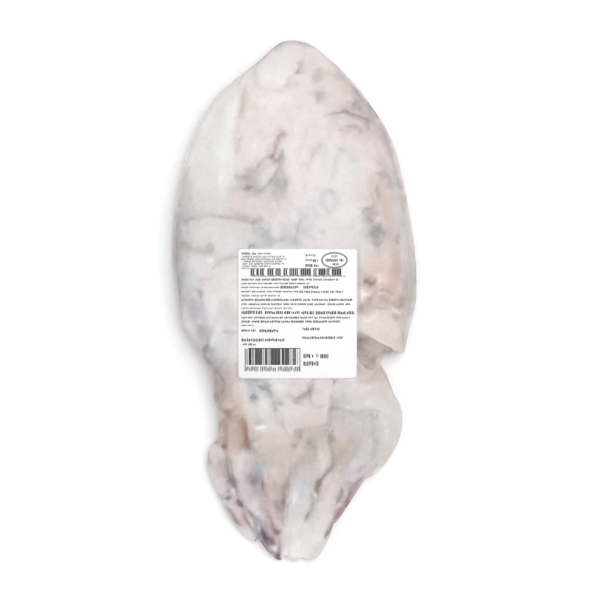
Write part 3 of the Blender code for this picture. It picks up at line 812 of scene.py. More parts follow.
# Marks, one to a line: name, tone, strength, half width, and places
# On the tail
MARKS = """
tail rim: ink 0.54 1.1 273,49 280,42.5 288,37 297,39 308,43 317,48
tail rim left: brown 0.92 1.1 241,75 249,68 254,63 262,58 267,53 274,47
tail rim knot: black 0.92 1.4 254,63 255,62
tail rim shade: glow 0.33 2.4 242,86 248,72 253,69
cream edge: mauve 0.21 3.5 257,63 255,75 259,87 270,90 284,90 290,79
cream end: mauve 0.25 4.4 284,86 295,84 299,83
membrane dark: olive 0.18 4.8 245,89 246,97 243,104 243,117
membrane dark low: brown 0.13 2 243,93 242,105 240,117
membrane brown: steel 0.1 6.1 250,108 259,110
membrane line: mauve 0.13 2.5 242,106 239,116 236,128 235,143 236,155
membrane line low: grey 0.23 2.5 242,136 238,145 237,156
crest pink: glow 0.27 2.5 236,96 235,106 232,118
tail dark mark: umber 0.34 1.1 296,74 299,69
tail dark mark top: plum 0.23 3.1 297,63 304,65
tail coral: coral 0.35 6.5 299,68 302,73
tail olive: olive 0.28 4 319,68 317,74 312,82
tail dark spot: ink 0.19 5 324,93 317,103
rim right pink: wine 0.09 4.8 333,75 341,78
rim right dark: plum 0.62 1.6 352,87 357,94 363,102
rim right green: ink 0.92 1.5 367,99 372,106 377,113 383,122
edge olive: umber 0.24 4.8 359,108 369,114 374,123
edge plum: plum 0.42 6.2 356,100 358,104 360,111
edge grey: brown 0.21 1.4 345,102 357,104
wrinkle start: plum 0.12 3.9 323,116 338,112.5
wrinkle: umber 0.36 1.6 332,114.5 340,113 345,110.5 351,113.5 359,116 366,119
wrinkle knot: plum 0.29 2.8 342,112 350,111
wrinkle end: ink 0.25 1.9 367,118 368,127 369,127
wrinkle low: brown 0.41 1.4 345,125 350,125.5 354,126.5 359,127
wrinkle third: mauve 0.57 2.5 338,130 351,131
wrinkle third end: brown 0.24 2 359,129 365,132
wrinkle faint: wine 0.09 12.4 327,122 338,126.5
small faint: mauve 0.14 21.1 305,124 321,126
"""
# On the right side
MARKS += """
flank blush top: brown 0.17 11.8 377,125 386,133 385,144
rim right mauve: umber 0.13 1.5 378,128 384,141 390,155 395,170 397,185
rim right line: black 0.09 2 380,125 384,137 390,148 394,164
flank plum: plum 0.28 3.6 376,173 388,176 389,180
flank plum dot: grey 0.34 5.5 387,186 394,183
flank brown line: brown 0.26 1.4 377,185 378,193 380,200
flank orange line: rust 0.43 1.6 372,194 373,205 365,210
flank glint: brown 0.39 6 372,214 378,215
blotch one: grey 0.37 9.4 362,219 371,222
blotch one dark: brown 0.56 4.8 367,220 373,222
blotch one side: brown 0.19 6 370,208 369,213
blotch two: wine 0.21 3.8 378,230 383,238
blotch two top: ink 0.22 4.4 373,226 381,229
blotch two left: ink 0.25 4.8 371,226 369,233 376,237
blotch two middle: plum 0.25 3 372,234 378,231 385,231
blotch two low: brown 0.34 4.5 372,244 381,243
flank dot: plum 0.33 2.8 398,234 397,241 399,243
fin slate: ink 0.19 2.8 393,173 398,182 403,188
fin top: grey 0.23 5.8 399,190 401,207 402,227
fin low: grey 0.32 5.6 410,247 417,272 409,295 411,315
fin olive: olive 0.26 3.2 404,259 408,292 402,318
fin inner: brick 0.28 4.8 401,279 406,291 404,305
"""
# In the middle of the belly
MARKS += """
middle mark one: mauve 0.42 3.5 322,142 316,150 311,159
middle mark two: olive 0.18 2 300,165 316,162
middle mark three: olive 0.32 2.8 338,148 345,151
middle mark five: steel 0.23 3.5 349,163 359,158
middle vein: olive 0.22 1.8 337,154 335,168 331,182
ring top: olive 0.31 2.4 323,193 330,192.5 335,193
ring tail: white 0.23 6.9 309,194 317,202 322,213
middle dim: grey 0.3 2.2 319,232 326,232
vein one: brown 0.27 2.8 300,221 297,228 297,235 296,241
vein three: grey 0.3 2.8 276,241 287,239 295,243 308,245
vein four: steel 0.11 11.8 303,220 306,204
label top dark: ink 0.46 1.4 247,249 252,245 255,248
label top bits: ink 0.13 6 268,238 270,246
slate bits: steel 0.26 1.8 251,224 257,237
slate blue: brown 0.16 4.8 262,239 268,231
"""
# On the hook, the loop and the folds round them
MARKS += """
hook top: brown 0.37 2.9 288,135 284.5,135 279,136 279,142
hook: brown 0.22 3 275,140 274.5,150 271,158
hook knot: plum 0.5 3 273,155 271,156 267,158
hook left: grey 0.54 2.4 266,156 261,162 256,167
loop top: grey 0.72 2.4 274,158 277,161 281,157 283,151
loop right: umber 0.14 1.4 279,157 279,169 284,175 286,182
loop inner: ink 0.32 1.9 276,165 276,172 273,180 268,186
pool leaf: cream 0.44 4 263,185 266,176 276,167
smear: steel 0.2 5.5 246,179 249,180 260,181
smear dark: plum 0.21 5.5 247,188 259,186
smear top: plum 0.21 3.5 233,175 240,178 248,176
smear olive: brown 0.19 3.8 244,169 252,172 260,167
floor left: lavender 0.26 11.2 228,189 237,190
floor knot: ink 0.46 3.2 244,189 251,187.5
floor line: ink 0.19 1.8 250,185 256,190 264,189 267,184 273,177
floor grey: steel 0.31 3.8 276,177 280,185 284,188
floor grey edge: umber 0.18 2.6 285,175 283,187 281,194
floor low: violet 0.14 9.8 273,200 290,195
floor faint: umber 0.14 4.8 253,195 260,191
"""
# On the left side. The left rim marks are painted shade, where the mantle's edge turns down.
MARKS += """
left corner: brown 0.37 4 175,217 179,218 177,227
fold: plum 0.19 2.4 186,220 191,218 197,218 204,215.5 212,215.5 222,217.5
fold middle: plum 0.28 2.2 220,216 230,218.5 240,219 248,221 255,222.5
fold knot: grey 0.63 2 251,223 256,222
fold end: brown 0.26 2.8 254,219 260,221 264,221
fold shade: mauve 0.32 3.2 229,208 236,214 250,217
fold left knot: ink 0.24 3.1 185,220 188,225
fold left shade: steel 0.26 14.8 182,206 192,208
left rim top: olive 0.39 3.8 189,167 184,182 182,196 178,206
left rim: brown 0.62 1.7 176.5,217 175.5,235 175,253 177,271
left rim shade: steel 0.2 6.2 180,229 183,247 180,265 184,275
left rim low: plum 0.33 1.8 176,268 179,283 180,294
left rim end: black 0.22 1.4 179,289 180,305 179,323
pool edge: slate 0.37 3.9 183,216 187,226 188,235
lower fold: brown 0.25 4.4 181,242 186,246 192,250
lower fold right: olive 0.42 3 190,248 200,250.5 210,252 213,248
lower fold dark: ink 0.21 2.8 206,246 213,246
lower shade: grey 0.15 7 180,246 188,258
lower crease: grey 0.31 2.6 211,271 217,264 221,259.5 230,258 238,256
lower glint: glow 0.59 1.9 207,263 214,258
slate line: violet 0.2 1.8 198,281 205,280 213,279
left spot cloud: violet 0.23 4 194,290 204,293
left mauve: plum 0.16 4.5 186,287 190,296 194,306
left violet dark: violet 0.2 7.8 189,307 196,317
left plum: plum 0.17 3.8 199,323 201,331 206,335
left light: white 0.5 2.4 221,321 218,329 214,337 212,345
left light two: white 0.44 1.4 197,323 201,321
left dim: grey 0.43 1.9 222,332 238,332
"""
# On the neck, the head and the eye
MARKS += """
lobe dark: dove 0.16 23.8 189,335 198,334
neck dark: wine 0.44 2 204,354 205,349 208,344
neck plum: plum 0.51 2.4 205,355 205,359 211,363
neck run: plum 0.36 3.5 207,364 212,366 219,374
neck shade: black 0.11 4.8 207,352 213,350
head edge plum: rust 0.39 1.1 216,376 215,389 215,402
head dot: pink 0.33 6.8 220,381 226,389
head dot low: maroon 0.25 6.9 214,395 218,399
head light: glow 0.32 4.8 223,404 231,407
eye knot: umber 0.32 2.6 223,410 228,414 226,417
eye lobe edge: rust 0.66 2.5 223,420 219,426 216,433 218,438 219,441 223,448
eye lobe dark: black 0.48 3.1 222,447 226,447
eye left shade: brown 0.31 1.2 226,424 227,437 226,450
eye red: maroon 0.6 3 241,419 245,426 246,436 246,443 250,450
eye red left: rust 0.58 6 238,422 246,425
eye red low: maroon 0.45 7.5 244,445 249,445
eye coral: glow 0.31 4 253,442 258,448 262,457
eye low pink: rose 0.46 4.8 241,456 260,458
ridge one: steel 0.8 1.9 258,386 266,388 271,385
ridge two: steel 0.73 2.2 267,389 270,392 272,399
ridge three: ink 0.37 2 250,398 256,397
ridge four: mist 0.33 9.8 242,405 245,412
ridge five: steel 0.34 1.8 252,395 259,400
ridge top: ink 0.15 3 244,381 254,380 269,384
net one: grey 0.61 1.6 274,399 276,409 273,411
net two: grey 0.4 1.1 278,403 280,404 284,404
net three: glow 0.41 2.5 278,407 283,412 282,413
net four: mauve 0.4 1.4 281,420 285,427 289,436
leaf dim: steel 0.28 5 254,424 262,422
head glint: glow 0.67 1.9 254,429 266,427.5
"""
# On the funnel, the web and the pouch
MARKS += """
knot: brown 0.36 3.5 294,432 301,437
knot olive: olive 0.52 1.9 293,430 301,430
knot low: brick 0.37 1.9 291,445 298,447
knot line: brown 0.19 1.9 305,427 300,438 295,446
web olive: brown 0.52 4 306,447 313,447
funnel mark: plum 0.43 3 309,388 309,392 304,396 298,398
funnel mark cloud: olive 0.46 6.1 307,385 313,389
funnel mark low: plum 0.32 5.5 299,397 295,404
lace one: clay 0.39 2.2 311,403 314,405 319,407 326,405
lace two: brown 0.26 1.3 310,391 311,401 314,402
funnel edge: olive 0.35 3 303,429 321,431 331,426
line top: ink 0.26 2 333,381 335,384
line: ink 0.15 2.2 331,392 331.5,404 330,413
line cross: umber 0.22 3.9 329,408.5 341,408.5
line low: grey 0.57 1.9 329,410 329,422 324,436
pouch line: olive 0.44 2.8 335,410 346,412 357,414 369,415 379,415
pouch shade: grey 0.27 9.8 338,401 348,402
neck line: umber 0.31 1.8 328,431 330,437 331,447 333,456 331,463
neck knot: brown 0.37 3.8 330,432 329,445
neck line low: umber 0.29 2.2 334,463 332,469 327,473 322,479
neck blob: brown 0.87 2.6 321,479 318.5,483 317.5,489 318,494
neck blob end: umber 0.24 3.1 320,490 318,503
pouch clay dark: clay 0.28 11 330,443 343,446 341,454
pouch strip: brown 0.23 2.8 373,413 374,429 377,444
pouch strip low: wine 0.17 2.5 373,438 375,450 374,458
pouch light: cream 0.32 5.2 381,419 380,428
pouch fold: violet 0.28 2 362,438 357,448 351,458 346,467
low cloud: violet 0.34 3.5 357,473 365,466
low light: white 0.27 5.5 351,464 359,469
pouch rim low: brown 0.24 5 356,478 366,475 377,465
pouch rim side: olive 0.2 7.8 372,466 385,458 391,448
pouch rim top: grey 0.68 1.1 379,371 389,379 394,393 400,404
low violet: violet 0.4 1.9 347,481 351,484
"""
# On the right arms and the middle one
MARKS += """
edge wine: wine 0.37 3.8 364,482 358,486 355,492 352,500
edge dusty: black 0.92 3.8 350,501 348,509
edge wine low: wine 0.55 2.5 346,508 345,511 338,515 334,519
edge rust: brown 0.65 1.8 342,488 341,495 336,504
edge coral: rust 0.92 1.6 350,493 345,505 340,512
edge glint: pink 0.71 3.5 340,503 342,507
edge dark: black 0.92 1.1 335,523 333,526 331,534
edge black: steel 0.83 1.4 328,531 325,540
edge faint: flesh 0.41 7.6 329,535 318,539 313,549
centre crease: steel 0.51 3.2 311,493 313,502 312,508 311,514
centre crease low: ink 0.46 1.7 309,511 306,519
centre crease end: plum 0.33 2.2 309,516 304,523
centre glint: glow 0.53 4.4 291,487 294.5,496 293,505
centre mauve: rust 0.26 3 294,468 299,463 304,463
centre side: glow 0.92 1.3 289,487 288,504
centre faint: grey 0.12 9.9 294,543 305,544
third right line: umber 0.25 2.1 287,476 284,486 284,494 284,504
third brick: brick 0.39 2.8 275,506 283,512
third olive: olive 0.41 2.4 283,514 284,528
"""
# On the left arms and their tip
MARKS += """
third left dark: ink 0.41 1.5 263,480 262.5,490
third left shade: plum 0.35 2.6 262,480 264,489 269,498
third left wine: wine 0.13 3.9 261,506 267,517 267,525
third left end: ink 0.44 2.2 275,530 278,536
second dark: brown 0.43 4.4 250,473 252,479 254,486
second dark right: ink 0.21 4.4 252,478 258,481
second cloud: slate 0.53 5 255,465 262,475
flap line: wine 0.46 2 226,454 227,463 228,470 230,481
flap dark: black 0.45 2.5 230,478 233,484 235,487
flap dark arc: plum 0.41 4 227,482 232,478 234,477
flap violet: violet 0.48 5 227,491 231,492 232,491
flap light: white 0.71 2.5 232,489 235,494
flap ink: ink 0.51 1.8 225,499 231,498
flap ink left: ink 0.23 3.8 220,495 225,500
flap violet line: violet 0.53 1.6 232,482 235,487 237,495
flap black: black 0.46 1.9 237,499 239,504 242,506
flap low line: plum 0.39 1.1 248,510 252,515 256,519 261,521
flap inner line: maroon 0.37 1.1 244,512 245,517 249,524 252,530
flap pink line: wine 0.29 1.4 225,503 230,510 235,518 237,522 239,526
flap rust: umber 0.26 1.4 241,502 243,520
flap clay: black 0.23 3 236,520 245,529
flap rim: brown 0.3 3.5 208,452 207,459 210,464
flap rim low: glow 0.32 3.1 210,471 215,484 216,494
tip blue: black 0.32 3 254,522 260,531 259,537
tip light: white 0.2 2.5 257,515 268,519
tip blue glint: white 0.7 1.1 259,524 258.5,534
tip black: black 0.36 2.6 262,531 267,538 272,541 275,544
tip edge: black 0.92 1.1 255,541 260,543 263,547 266,551 270,553
tip end: black 0.43 3.8 275,556 280,559
tip wine: mauve 0.56 1.1 273,539 279,548 276,555
tip white: glow 0.59 1.9 273,547 276,550
"""
# On the collar and the gap below it. The gap's dark marks are partly painted shade of the hollow, and the
# gap's light mark is painted light; the label's side and foot marks are its painted shadow.
MARKS += """
gap shade: tan 0.59 2.5 351,336 362,339 369,343 381,351 393,353
gap fold: umber 0.37 3 364,356 372,358 376,358
gap light: glow 0.34 6.1 369,348 381,349
gap red: rust 0.25 4.8 359,366 369,371
flank knot: umber 0.46 2.4 363,280 367,282 374,284
flank knot shade: brown 0.44 2.6 367,280 377,281
flank light: rust 0.18 13.5 377,269 383,273
flank red core: maroon 0.07 8.1 390,265 389,275
mottle one: ink 0.18 2.5 378,291 386,291 394,294
mottle two: plum 0.18 2 367,297 371,298 378,287
mottle three: olive 0.44 4.8 381,296 387,303
mottle dark: brick 0.4 3.1 401,295 401,302 399,311
mottle white: glow 0.77 2.4 359,289 362,293 362,298
collar line: mauve 0.58 2.8 355,312 363,310 377,309 387,308
collar dark: ink 0.26 2.2 355,309 364,306
collar crease: rust 0.43 3.1 393,314 396,317 398,318
collar bright: glow 0.34 1.4 396,311 401,313
collar rim: brown 0.28 3.8 403,333 404,341 408,346
label side shade: brown 0.37 2.1 359,250 358.5,268 359,288 359,302
label foot shade: steel 0.2 2.2 308,383 325,374.5 342,383 357,381
"""
# Laid over these, on the left rim, the head and the arms. The left rim band and core are painted shade
# where the mantle's edge turns down, and the label foot mark on the left is the label's painted shadow.
MARKS += """
left rim band: plum 0.15 3.2 178,214 179,232 178,252 178,272 182,296 182,322
left rim core: umber 0.24 1.1 175,225 176,243 175,264 178,288
label foot left: steel 0.11 2.8 247,383.5 266,381 286,384 303,385
head band: brown 0.25 5 214,372 217,384 218,396 220,410
head band core: plum 0.23 2.4 220,374 224,384 221,397
eye olive: olive 0.18 9.8 229,414 230,424 224,437
eye lobe inner: glow 0.27 1.1 222,428 222,433 224,436
flap top shade: violet 0.13 7.8 216,455 219,465 226,473
flap line soft: mauve 0.3 3.2 226,447 226,460 229,474 234,489
flap lilac edge: lavender 0.42 3.8 241,487 248,493 252,503
flap tail line: black 0.17 1.6 238,497 243,507 251,514 256,523
flap inner two: plum 0.39 1.3 243,517 249,524 253,529 254,536
flap outer line: brown 0.43 1.1 224,505 232,514 236,523 239,527
flap white one: glow 0.48 1.1 250,518 253,528
tip lavender: white 0.19 1.4 253,512 262,517 264,528
tip dark stem: black 0.25 1.8 262,527 264,535 267,544 273,544
tip dark arm: umber 0.34 2.5 266,540 271,538 273,544
tip violet small: violet 0.6 2.5 257,530 261,537
tip foot line: black 0.33 2.2 257,541 261,545.5 266,549 273,553 279,555
tip side: black 0.2 1.1 279,539 280,548 278,559
second border: flesh 0.19 1.8 261,480 262,493 266,504 269,516
second border low: brown 0.53 1.8 271,520 273,529 279,533
third right: brown 0.44 2 288,480 285,490 284,500 284,510
third spot: brick 0.3 3.9 273,501 279,503 284,503
third shade: mauve 0.49 4 274,480 276,490 280,504
web border: mauve 0.17 6.9 280,482 289,471 298,464 304,457
neck line soft: brown 0.1 2.4 331,432 331,449 333,465 327,474
neck run low: brown 0.29 2.8 333,463 327,471 321,480 318,489
edge run: wine 0.37 2.6 363,477 357,482 351,489 348,497 342,507 337,515 334,523
edge run low: umber 0.5 2 335,517 332,526 328,532 325,537
edge foot: slate 0.28 2.2 327,540 319,547 311,559
pouch strip band: lilac 0.24 6.2 364,418 369,433 370,454
"""
# Laid over these, from the tail to the arms. The mark on the gap's lip is painted light on its shaded wall;
# the marks below the collar's edge and on the head's right flank are painted shade, and the gap's other
# marks partly so.
MARKS += """
squiggle floor: steel 0.23 3.2 233,188 244,188 256,190.5 265,188 273,180
squiggle side: brown 0.19 1.4 282,145 280,158 280,168
squiggle low: mauve 0.29 4 272,191 283,196
hook run: rust 0.36 2.6 286,134 280,133 277,140 274,149 270,157 265,159
blob one: grey 0.46 6.5 363,212 368,224
blob two: steel 0.36 6.5 378,225 378,235 381,243
blob two bar: plum 0.35 2.5 369,233 376,231 384,233
blob light: cream 0.29 3.8 376,216 383,222
flank salmon: mauve 0.19 8.8 384,209 391,224 390,245
flank red band: maroon 0.06 4.5 400,248 396,268 398,282
rim right upper: plum 0.1 2.4 381,132 389,145 392,162 397,182 406,194
rim right fin: grey 0.31 5.5 403,199 405,224 407,249 409,279 407,309
rim right outer: grey 0.76 1.1 414,233 416,259 416,284
flank shade high: rust 0.16 4.8 374,141 380,157 385,172
tail spots: olive 0.24 5 321,68 320,73 316,84
tail spot round: brown 0.23 5.6 316,94 321,97
tail rim soft: grey 0.39 1.5 265,53 274,49.5 283,43.5 295,42 307,45 318,49
tail rim left soft: brown 0.12 2 238,85 244,75 250,66 259,59
tail rim right soft: grey 0.43 2 315,47 330,58 341,75 352,88 363,99 372,109
wrinkle soft: cream 0.32 1.9 333,114 342,115 353,120 364,125
gap lip: glow 0.28 1.1 356,355 362,361 365,367 371,368 376,365
collar foot: umber 0.17 2 382,349 387,352 398,352
gap olive: maroon 0.09 6.2 365,342 375,351 375,360
gap left side: umber 0.14 3.8 359,335 359,349 365,359
head flank right: umber 0.73 1.6 386,370 391,380 394,393
squiggle stripe: steel 0.22 2.2 274,177 276,187 273,195
squiggle stripe right: steel 0.37 1.6 283,175 284,182 283,194
fold end dark: olive 0.24 2 218,214.5 224,217 233,217
left dark spot: plum 0.24 2 198,291 201,294 200,298
arm two light: pink 0.12 6.2 240,463 244,479 245,504
flap pale end: white 0.16 6.2 241,527 248,537 255,543
"""
# Laid over all of these. The pale marks on the left rim are painted light, where the stage leaves the
# mantle's edge in shade.
MARKS += """
left rim pale: glow 0.56 2.5 227,88 213,101 201,121 190,143 181,168 177,192 175,207
left rim pale low: glow 0.28 2 176,216 173.5,241 173,266 176,291
ring left: dove 0.52 3.6 330,190 325,193 323,200 325,207 330,213
ring right: dove 0.52 3.6 328,212 333.5,209 336,202 334,195 329,190
ring core: white 0.1 2.2 327.5,197 328.5,202
flap end pale: mist 0.62 4.4 237,525 243,533 249,539 252,541
red edge: brown 0.34 1.8 245.5,425 247,433 247,441 249.5,448
tip fold start: plum 0.6 2 255.5,540.5 259,541 264.5,546
tip black core: black 0.22 1.6 262.5,530 264.5,536 268,540
red edge light: tan 0.5 2.2 246,416.5 249.5,420 251,430 251.5,439
eye lobe rim: steel 0.3 2 219,420 217,428 216,437 218,446
flank v left: plum 0.4 1.8 363.5,281.5 366.5,280.5 369,281.5
flank v right: brown 0.4 1.8 369.5,282 372,284.5 375.5,281.5
flank v heart: sand 0.4 1.6 371,279 372.5,281
flank pale high: glow 0.3 2.4 379,273 379.5,277
flank pale spot: glow 0.45 1.4 378,280.5 381,280.5
flank smear one: mauve 0.6 1.5 380,290.5 384,290
flank smear two: mauve 0.6 1.8 386.5,291 391,291.5
flank light between: glow 0.25 1.4 378,293 384,293.5
flank smear three: mauve 0.5 1.2 379,296.5 384,297
flank smear four: mauve 0.5 2.2 385.5,299 389,301
flank mauve dash: wine 0.25 1.6 368.5,298.5 372,299.5
flank rose white: glow 0.4 1.8 365,294 368.5,295.5
flank tan low: clay 0.45 2.4 369.5,307.5 375,306.5 383,307.5
flank olive low: grey 0.4 2 392,304.5 396,306.5 399.5,309
flank pale diagonal: mist 0.4 1.5 391,307.5 395,310.5 399.5,313
flank olive foot: grey 0.32 2.2 392.5,315 396,316.5 399.5,318
flank grey dot: steel 0.3 1.8 361,304.5 363.5,304
rim left pale: glow 0.9 4.2 211.5,99 203.5,110.5 197,122.5 191.5,136 185.5,151 181,166 179,178
"""

# Creases between the arms are filled by this share, more and more between two rows of the picture
FILL_STEPS = 86
FILL_ROUNDS = 3
FILL_SHARE = 0.85
FILL_FROM = (362.0, 386.0)

# Shifts that keep edges from being too clean: size, strength and seed
FOLD_WOBBLE = (7.0, 1.1, 11)
PATCH_WOBBLE = (18.0, 4.0, 41)
MARK_WOBBLE = (7.0, 0.9, 51)
WOBBLE_SEED_STEP = 7

# Unevenness of raw flesh: height, size and seed
UNEVENNESS = ((0.00045, 0.018, 21), (0.00016, 0.005, 31))
UPWARD_POWER = 0.5
MILLIMETRE = 0.001

# Each mark's strength varies along it: share, size and seed
MARK_BREAKS = ((0.12, 3.5, 61), (0.20, 9.0, 62))
MARK_EVEN = 0.95
MARK_LEAST, MARK_MOST = 0.1, 1.15

# Pale and rosy clouds over the whole skin
CLOUD_SIZE, CLOUD_SEED, CLOUD_CONTRAST = 16.0, 91, 2.0
PALE_CLOUD, ROSY_CLOUD, ROSY_START = 0.05, 0.04, 0.2

# Painted shade where the skin turns down, plain flesh with grey clouds on the steep flanks, and a fine
# mottle
RIM_SHADE, RIM_FULL, RIM_NONE = 0.32, 0.25, 0.80
FLANK_SHARE, FLANK_FULL, FLANK_NONE = 0.75, 0.08, 0.34
FLANK_CLOUD_SIZE, FLANK_CLOUD_SEED, FLANK_CLOUD_CONTRAST = 0.012, 81, 1.6
MOTTLE, MOTTLE_SIZE, MOTTLE_SEED, MOTTLE_OCTAVES = 0.016, 5.0, 71, 4
MOTTLE_TINT = (1.0, 1.1, 1.1)
BRIGHTEST = 1.08


def fill_creases(canvas):
    """Raises the bottoms of the creases between the arms, where slack skin and film bridge them."""
    ends = np.empty(len(canvas.mesh.edges) * 2, np.int64)
    canvas.mesh.edges.foreach_get("vertices", ends)
    a, b = ends.reshape(-1, 2).T
    count = np.bincount(a, minlength=len(canvas.places)) + np.bincount(b, minlength=len(canvas.places))
    heights = canvas.places[:, 2].copy()
    for _ in range(FILL_ROUNDS):
        heights = np.maximum(heights, canvas.places[:, 2])
        for _ in range(FILL_STEPS):
            total = np.bincount(a, heights[b], len(heights)) + np.bincount(b, heights[a], len(heights))
            heights = total / count
    start, full = FILL_FROM
    where = ease((canvas.pixels[:, 1] - start) / (full - start)) * (canvas.normals[:, 2] > 0)
    canvas.places[:, 2] += FILL_SHARE * where * np.maximum(heights - canvas.places[:, 2], 0)
    canvas.look()


def sculpt(canvas):
    """Presses the folds into the skin and adds the soft unevenness of raw flesh."""
    upward = np.clip(canvas.normals[:, 2], 0, 1) ** UPWARD_POWER
    wobble = wobble_of(canvas, *FOLD_WOBBLE)
    height = np.zeros(len(canvas.places))
    for _, (width, depth), line in read_table(FOLDS):
        index, strength = stroke(canvas, line, width, wobble)
        height[index] += depth * MILLIMETRE * strength
    for rise, size, seed in UNEVENNESS:
        height += rise * rough_noise(canvas.places, size, seed)
    canvas.places += canvas.normals * (height * upward)[:, None]
    canvas.places[:, 2] = np.maximum(canvas.places[:, 2], 0)
    canvas.look()


def wobble_of(canvas, size, strength, seed):
    """Small uneven shifts of each point on the picture."""
    seeds = (seed, seed + WOBBLE_SEED_STEP)
    return np.stack([rough_noise(canvas.pixels, size, each) * strength for each in seeds], axis=1)


def tone(name):
    """A named tone, where 1 is white."""
    return np.array(TONES[name], float) / 255


def to_linear(colour):
    """Linear light of a colour as it shows, by the sRGB rule."""
    colour = np.clip(colour, 0, BRIGHTEST)
    return np.where(colour <= 0.04045, colour / 12.92, ((colour + 0.055) / 1.055) ** 2.4)


def paint(canvas):
    """The skin's colour at each point, from broad patches, then marks, then painted shade where it turns
    down, then fine unevenness.
    """
    pixels = canvas.pixels
    colour = np.tile(tone("flesh"), (len(pixels), 1))
    broad = wobble_of(canvas, *PATCH_WOBBLE)
    fine = wobble_of(canvas, *MARK_WOBBLE)
    for _, (name, strength, soft), outline in read_table(PATCHES):
        index, cover = patch(canvas, outline, soft, broad)
        mix_in(colour, index, tone(name), strength * cover)
    everywhere = np.arange(len(pixels))
    cloud = rough_noise(pixels, CLOUD_SIZE, CLOUD_SEED) * CLOUD_CONTRAST
    mix_in(colour, everywhere, tone("mist"), PALE_CLOUD * ease(cloud))
    mix_in(colour, everywhere, tone("rose"), ROSY_CLOUD * ease(-cloud - ROSY_START))
    for _, (name, strength, width), line in read_table(MARKS):
        index, cover = stroke(canvas, line, width, fine)
        broken = np.full(len(index), MARK_EVEN)
        for share, size, seed in MARK_BREAKS:
            broken += share * noise(pixels[index], size, seed)
        mix_in(colour, index, tone(name), strength * cover * np.clip(broken, MARK_LEAST, MARK_MOST))
    slope = canvas.normals[:, 2]
    # Painted shade: grey where the skin turns down
    rim = RIM_SHADE * (1 - ease((slope - RIM_FULL) / (RIM_NONE - RIM_FULL)))
    mix_in(colour, everywhere, tone("grey"), rim)
    flank = FLANK_SHARE * (1 - ease((slope - FLANK_FULL) / (FLANK_NONE - FLANK_FULL)))
    mix_in(colour, everywhere, tone("flesh"), flank)
    clouds = rough_noise(canvas.places, FLANK_CLOUD_SIZE, FLANK_CLOUD_SEED) * FLANK_CLOUD_CONTRAST
    mix_in(colour, everywhere, tone("dove"), flank * ease(clouds))
    mottle = rough_noise(canvas.places / PIXEL, MOTTLE_SIZE, MOTTLE_SEED, MOTTLE_OCTAVES)
    colour += MOTTLE * mottle[:, None] * np.array(MOTTLE_TINT)
    return to_linear(colour) / BRIGHTNESS


def mix_in(colour, index, target, weight):
    """Moves the colours of these points towards a target, each by its weight."""
    weight = np.clip(weight, 0, 1)[:, None]
    colour[index] = colour[index] * (1 - weight) + target * weight


def store_colour(thing, colour):
    """Keeps a colour for each point of the mesh, where the material finds it."""
    layer = thing.data.color_attributes.new("skin_colour", "FLOAT_COLOR", "POINT")
    rgba = np.ones((len(colour), 4), np.float32)
    rgba[:, :3] = colour
    layer.data.foreach_set("color", rgba.ravel())


# Materials

# Noise: scale and detail, and for a mapped one the least and greatest value that it gives
NOISE_SPREAD = (0.3, 0.7)
NOISE_ROUGHNESS = 0.55
FLESH_MOTTLE = (420, 4, 0.965, 1.03)
FLESH_ROUGHNESS = (90, 3, 0.30, 0.46)
PLAIN_SHADE = (60, 5, 0.97, 1.0)

# Bumps: scale, detail, strength and height
GRAIN = (700, 5, 0.22, 0.0006)
FILM = (150, 3, 0.35, 0.0012)
WRINKLE = (260, 4, 0.25, 0.0009)

FLESH_SOCKETS = {
    "Subsurface Weight": 0.22,
    "Subsurface Radius": (1.0, 0.62, 0.5),
    "Subsurface Scale": 0.0022,
    "Specular IOR Level": 0.4,
    "Coat Weight": 0.55,
    "Coat Roughness": 0.14,
    "Coat IOR": 1.45,
}
UNDERSIDE_NOISE = (28, 6, 0.62)
UNDERSIDE_STOPS = ((0.30, "dove"), (0.5, "flesh"), (0.72, "pink"))

# Plain finishes: colour, as it shows in even light, and roughness
LABEL_WHITE = ((238, 238, 238), 0.45)
FLOOR_WHITE = ((250, 250, 250), 0.9)
INKS = {"label_print": ((46, 44, 46), 0.5), "label_print_grey": ((128, 127, 130), 0.5)}


class Finish:
    """A new material, its shader, and the place on the object that its noise follows."""

    def __init__(self, name):
        self.material = bpy.data.materials.new(name)
        self.material.use_nodes = True
        self.nodes = self.material.node_tree.nodes
        self.link = self.material.node_tree.links.new
        self.shader = self.nodes["Principled BSDF"]
        self.place = self.nodes.new("ShaderNodeTexCoord").outputs["Object"]

    def noise(self, scale, detail, roughness=NOISE_ROUGHNESS):
        texture = self.nodes.new("ShaderNodeTexNoise")
        settings = {"Scale": scale, "Detail": detail, "Roughness": roughness}
        for name, value in settings.items():
            texture.inputs[name].default_value = value
        self.link(self.place, texture.inputs["Vector"])
        return texture.outputs["Fac"]

    def mapped(self, scale, detail, least, greatest):
        """Noise that runs from one value to another."""
        node = self.nodes.new("ShaderNodeMapRange")
        names = ("From Min", "From Max", "To Min", "To Max")
        for name, value in zip(names, (*NOISE_SPREAD, least, greatest)):
            node.inputs[name].default_value = value
        self.link(self.noise(scale, detail), node.inputs["Value"])
        return node.outputs["Result"]

    def bump(self, scale, detail, strength, distance, under=None):
        """Normals of a rough surface, on top of another one's if that is given."""
        node = self.nodes.new("ShaderNodeBump")
        node.inputs["Strength"].default_value = strength
        node.inputs["Distance"].default_value = distance
        self.link(self.noise(scale, detail), node.inputs["Height"])
        if under is not None:
            self.link(under, node.inputs["Normal"])
        return node.outputs["Normal"]

    def shaded(self, factor):
        """Puts a colour into the shader, shaded by a factor, and returns the socket that takes it."""
        tint = self.nodes.new("ShaderNodeVectorMath")
        tint.operation = "SCALE"
        self.link(factor, tint.inputs["Scale"])
        self.link(tint.outputs["Vector"], self.shader.inputs["Base Color"])
        return tint.inputs[0]


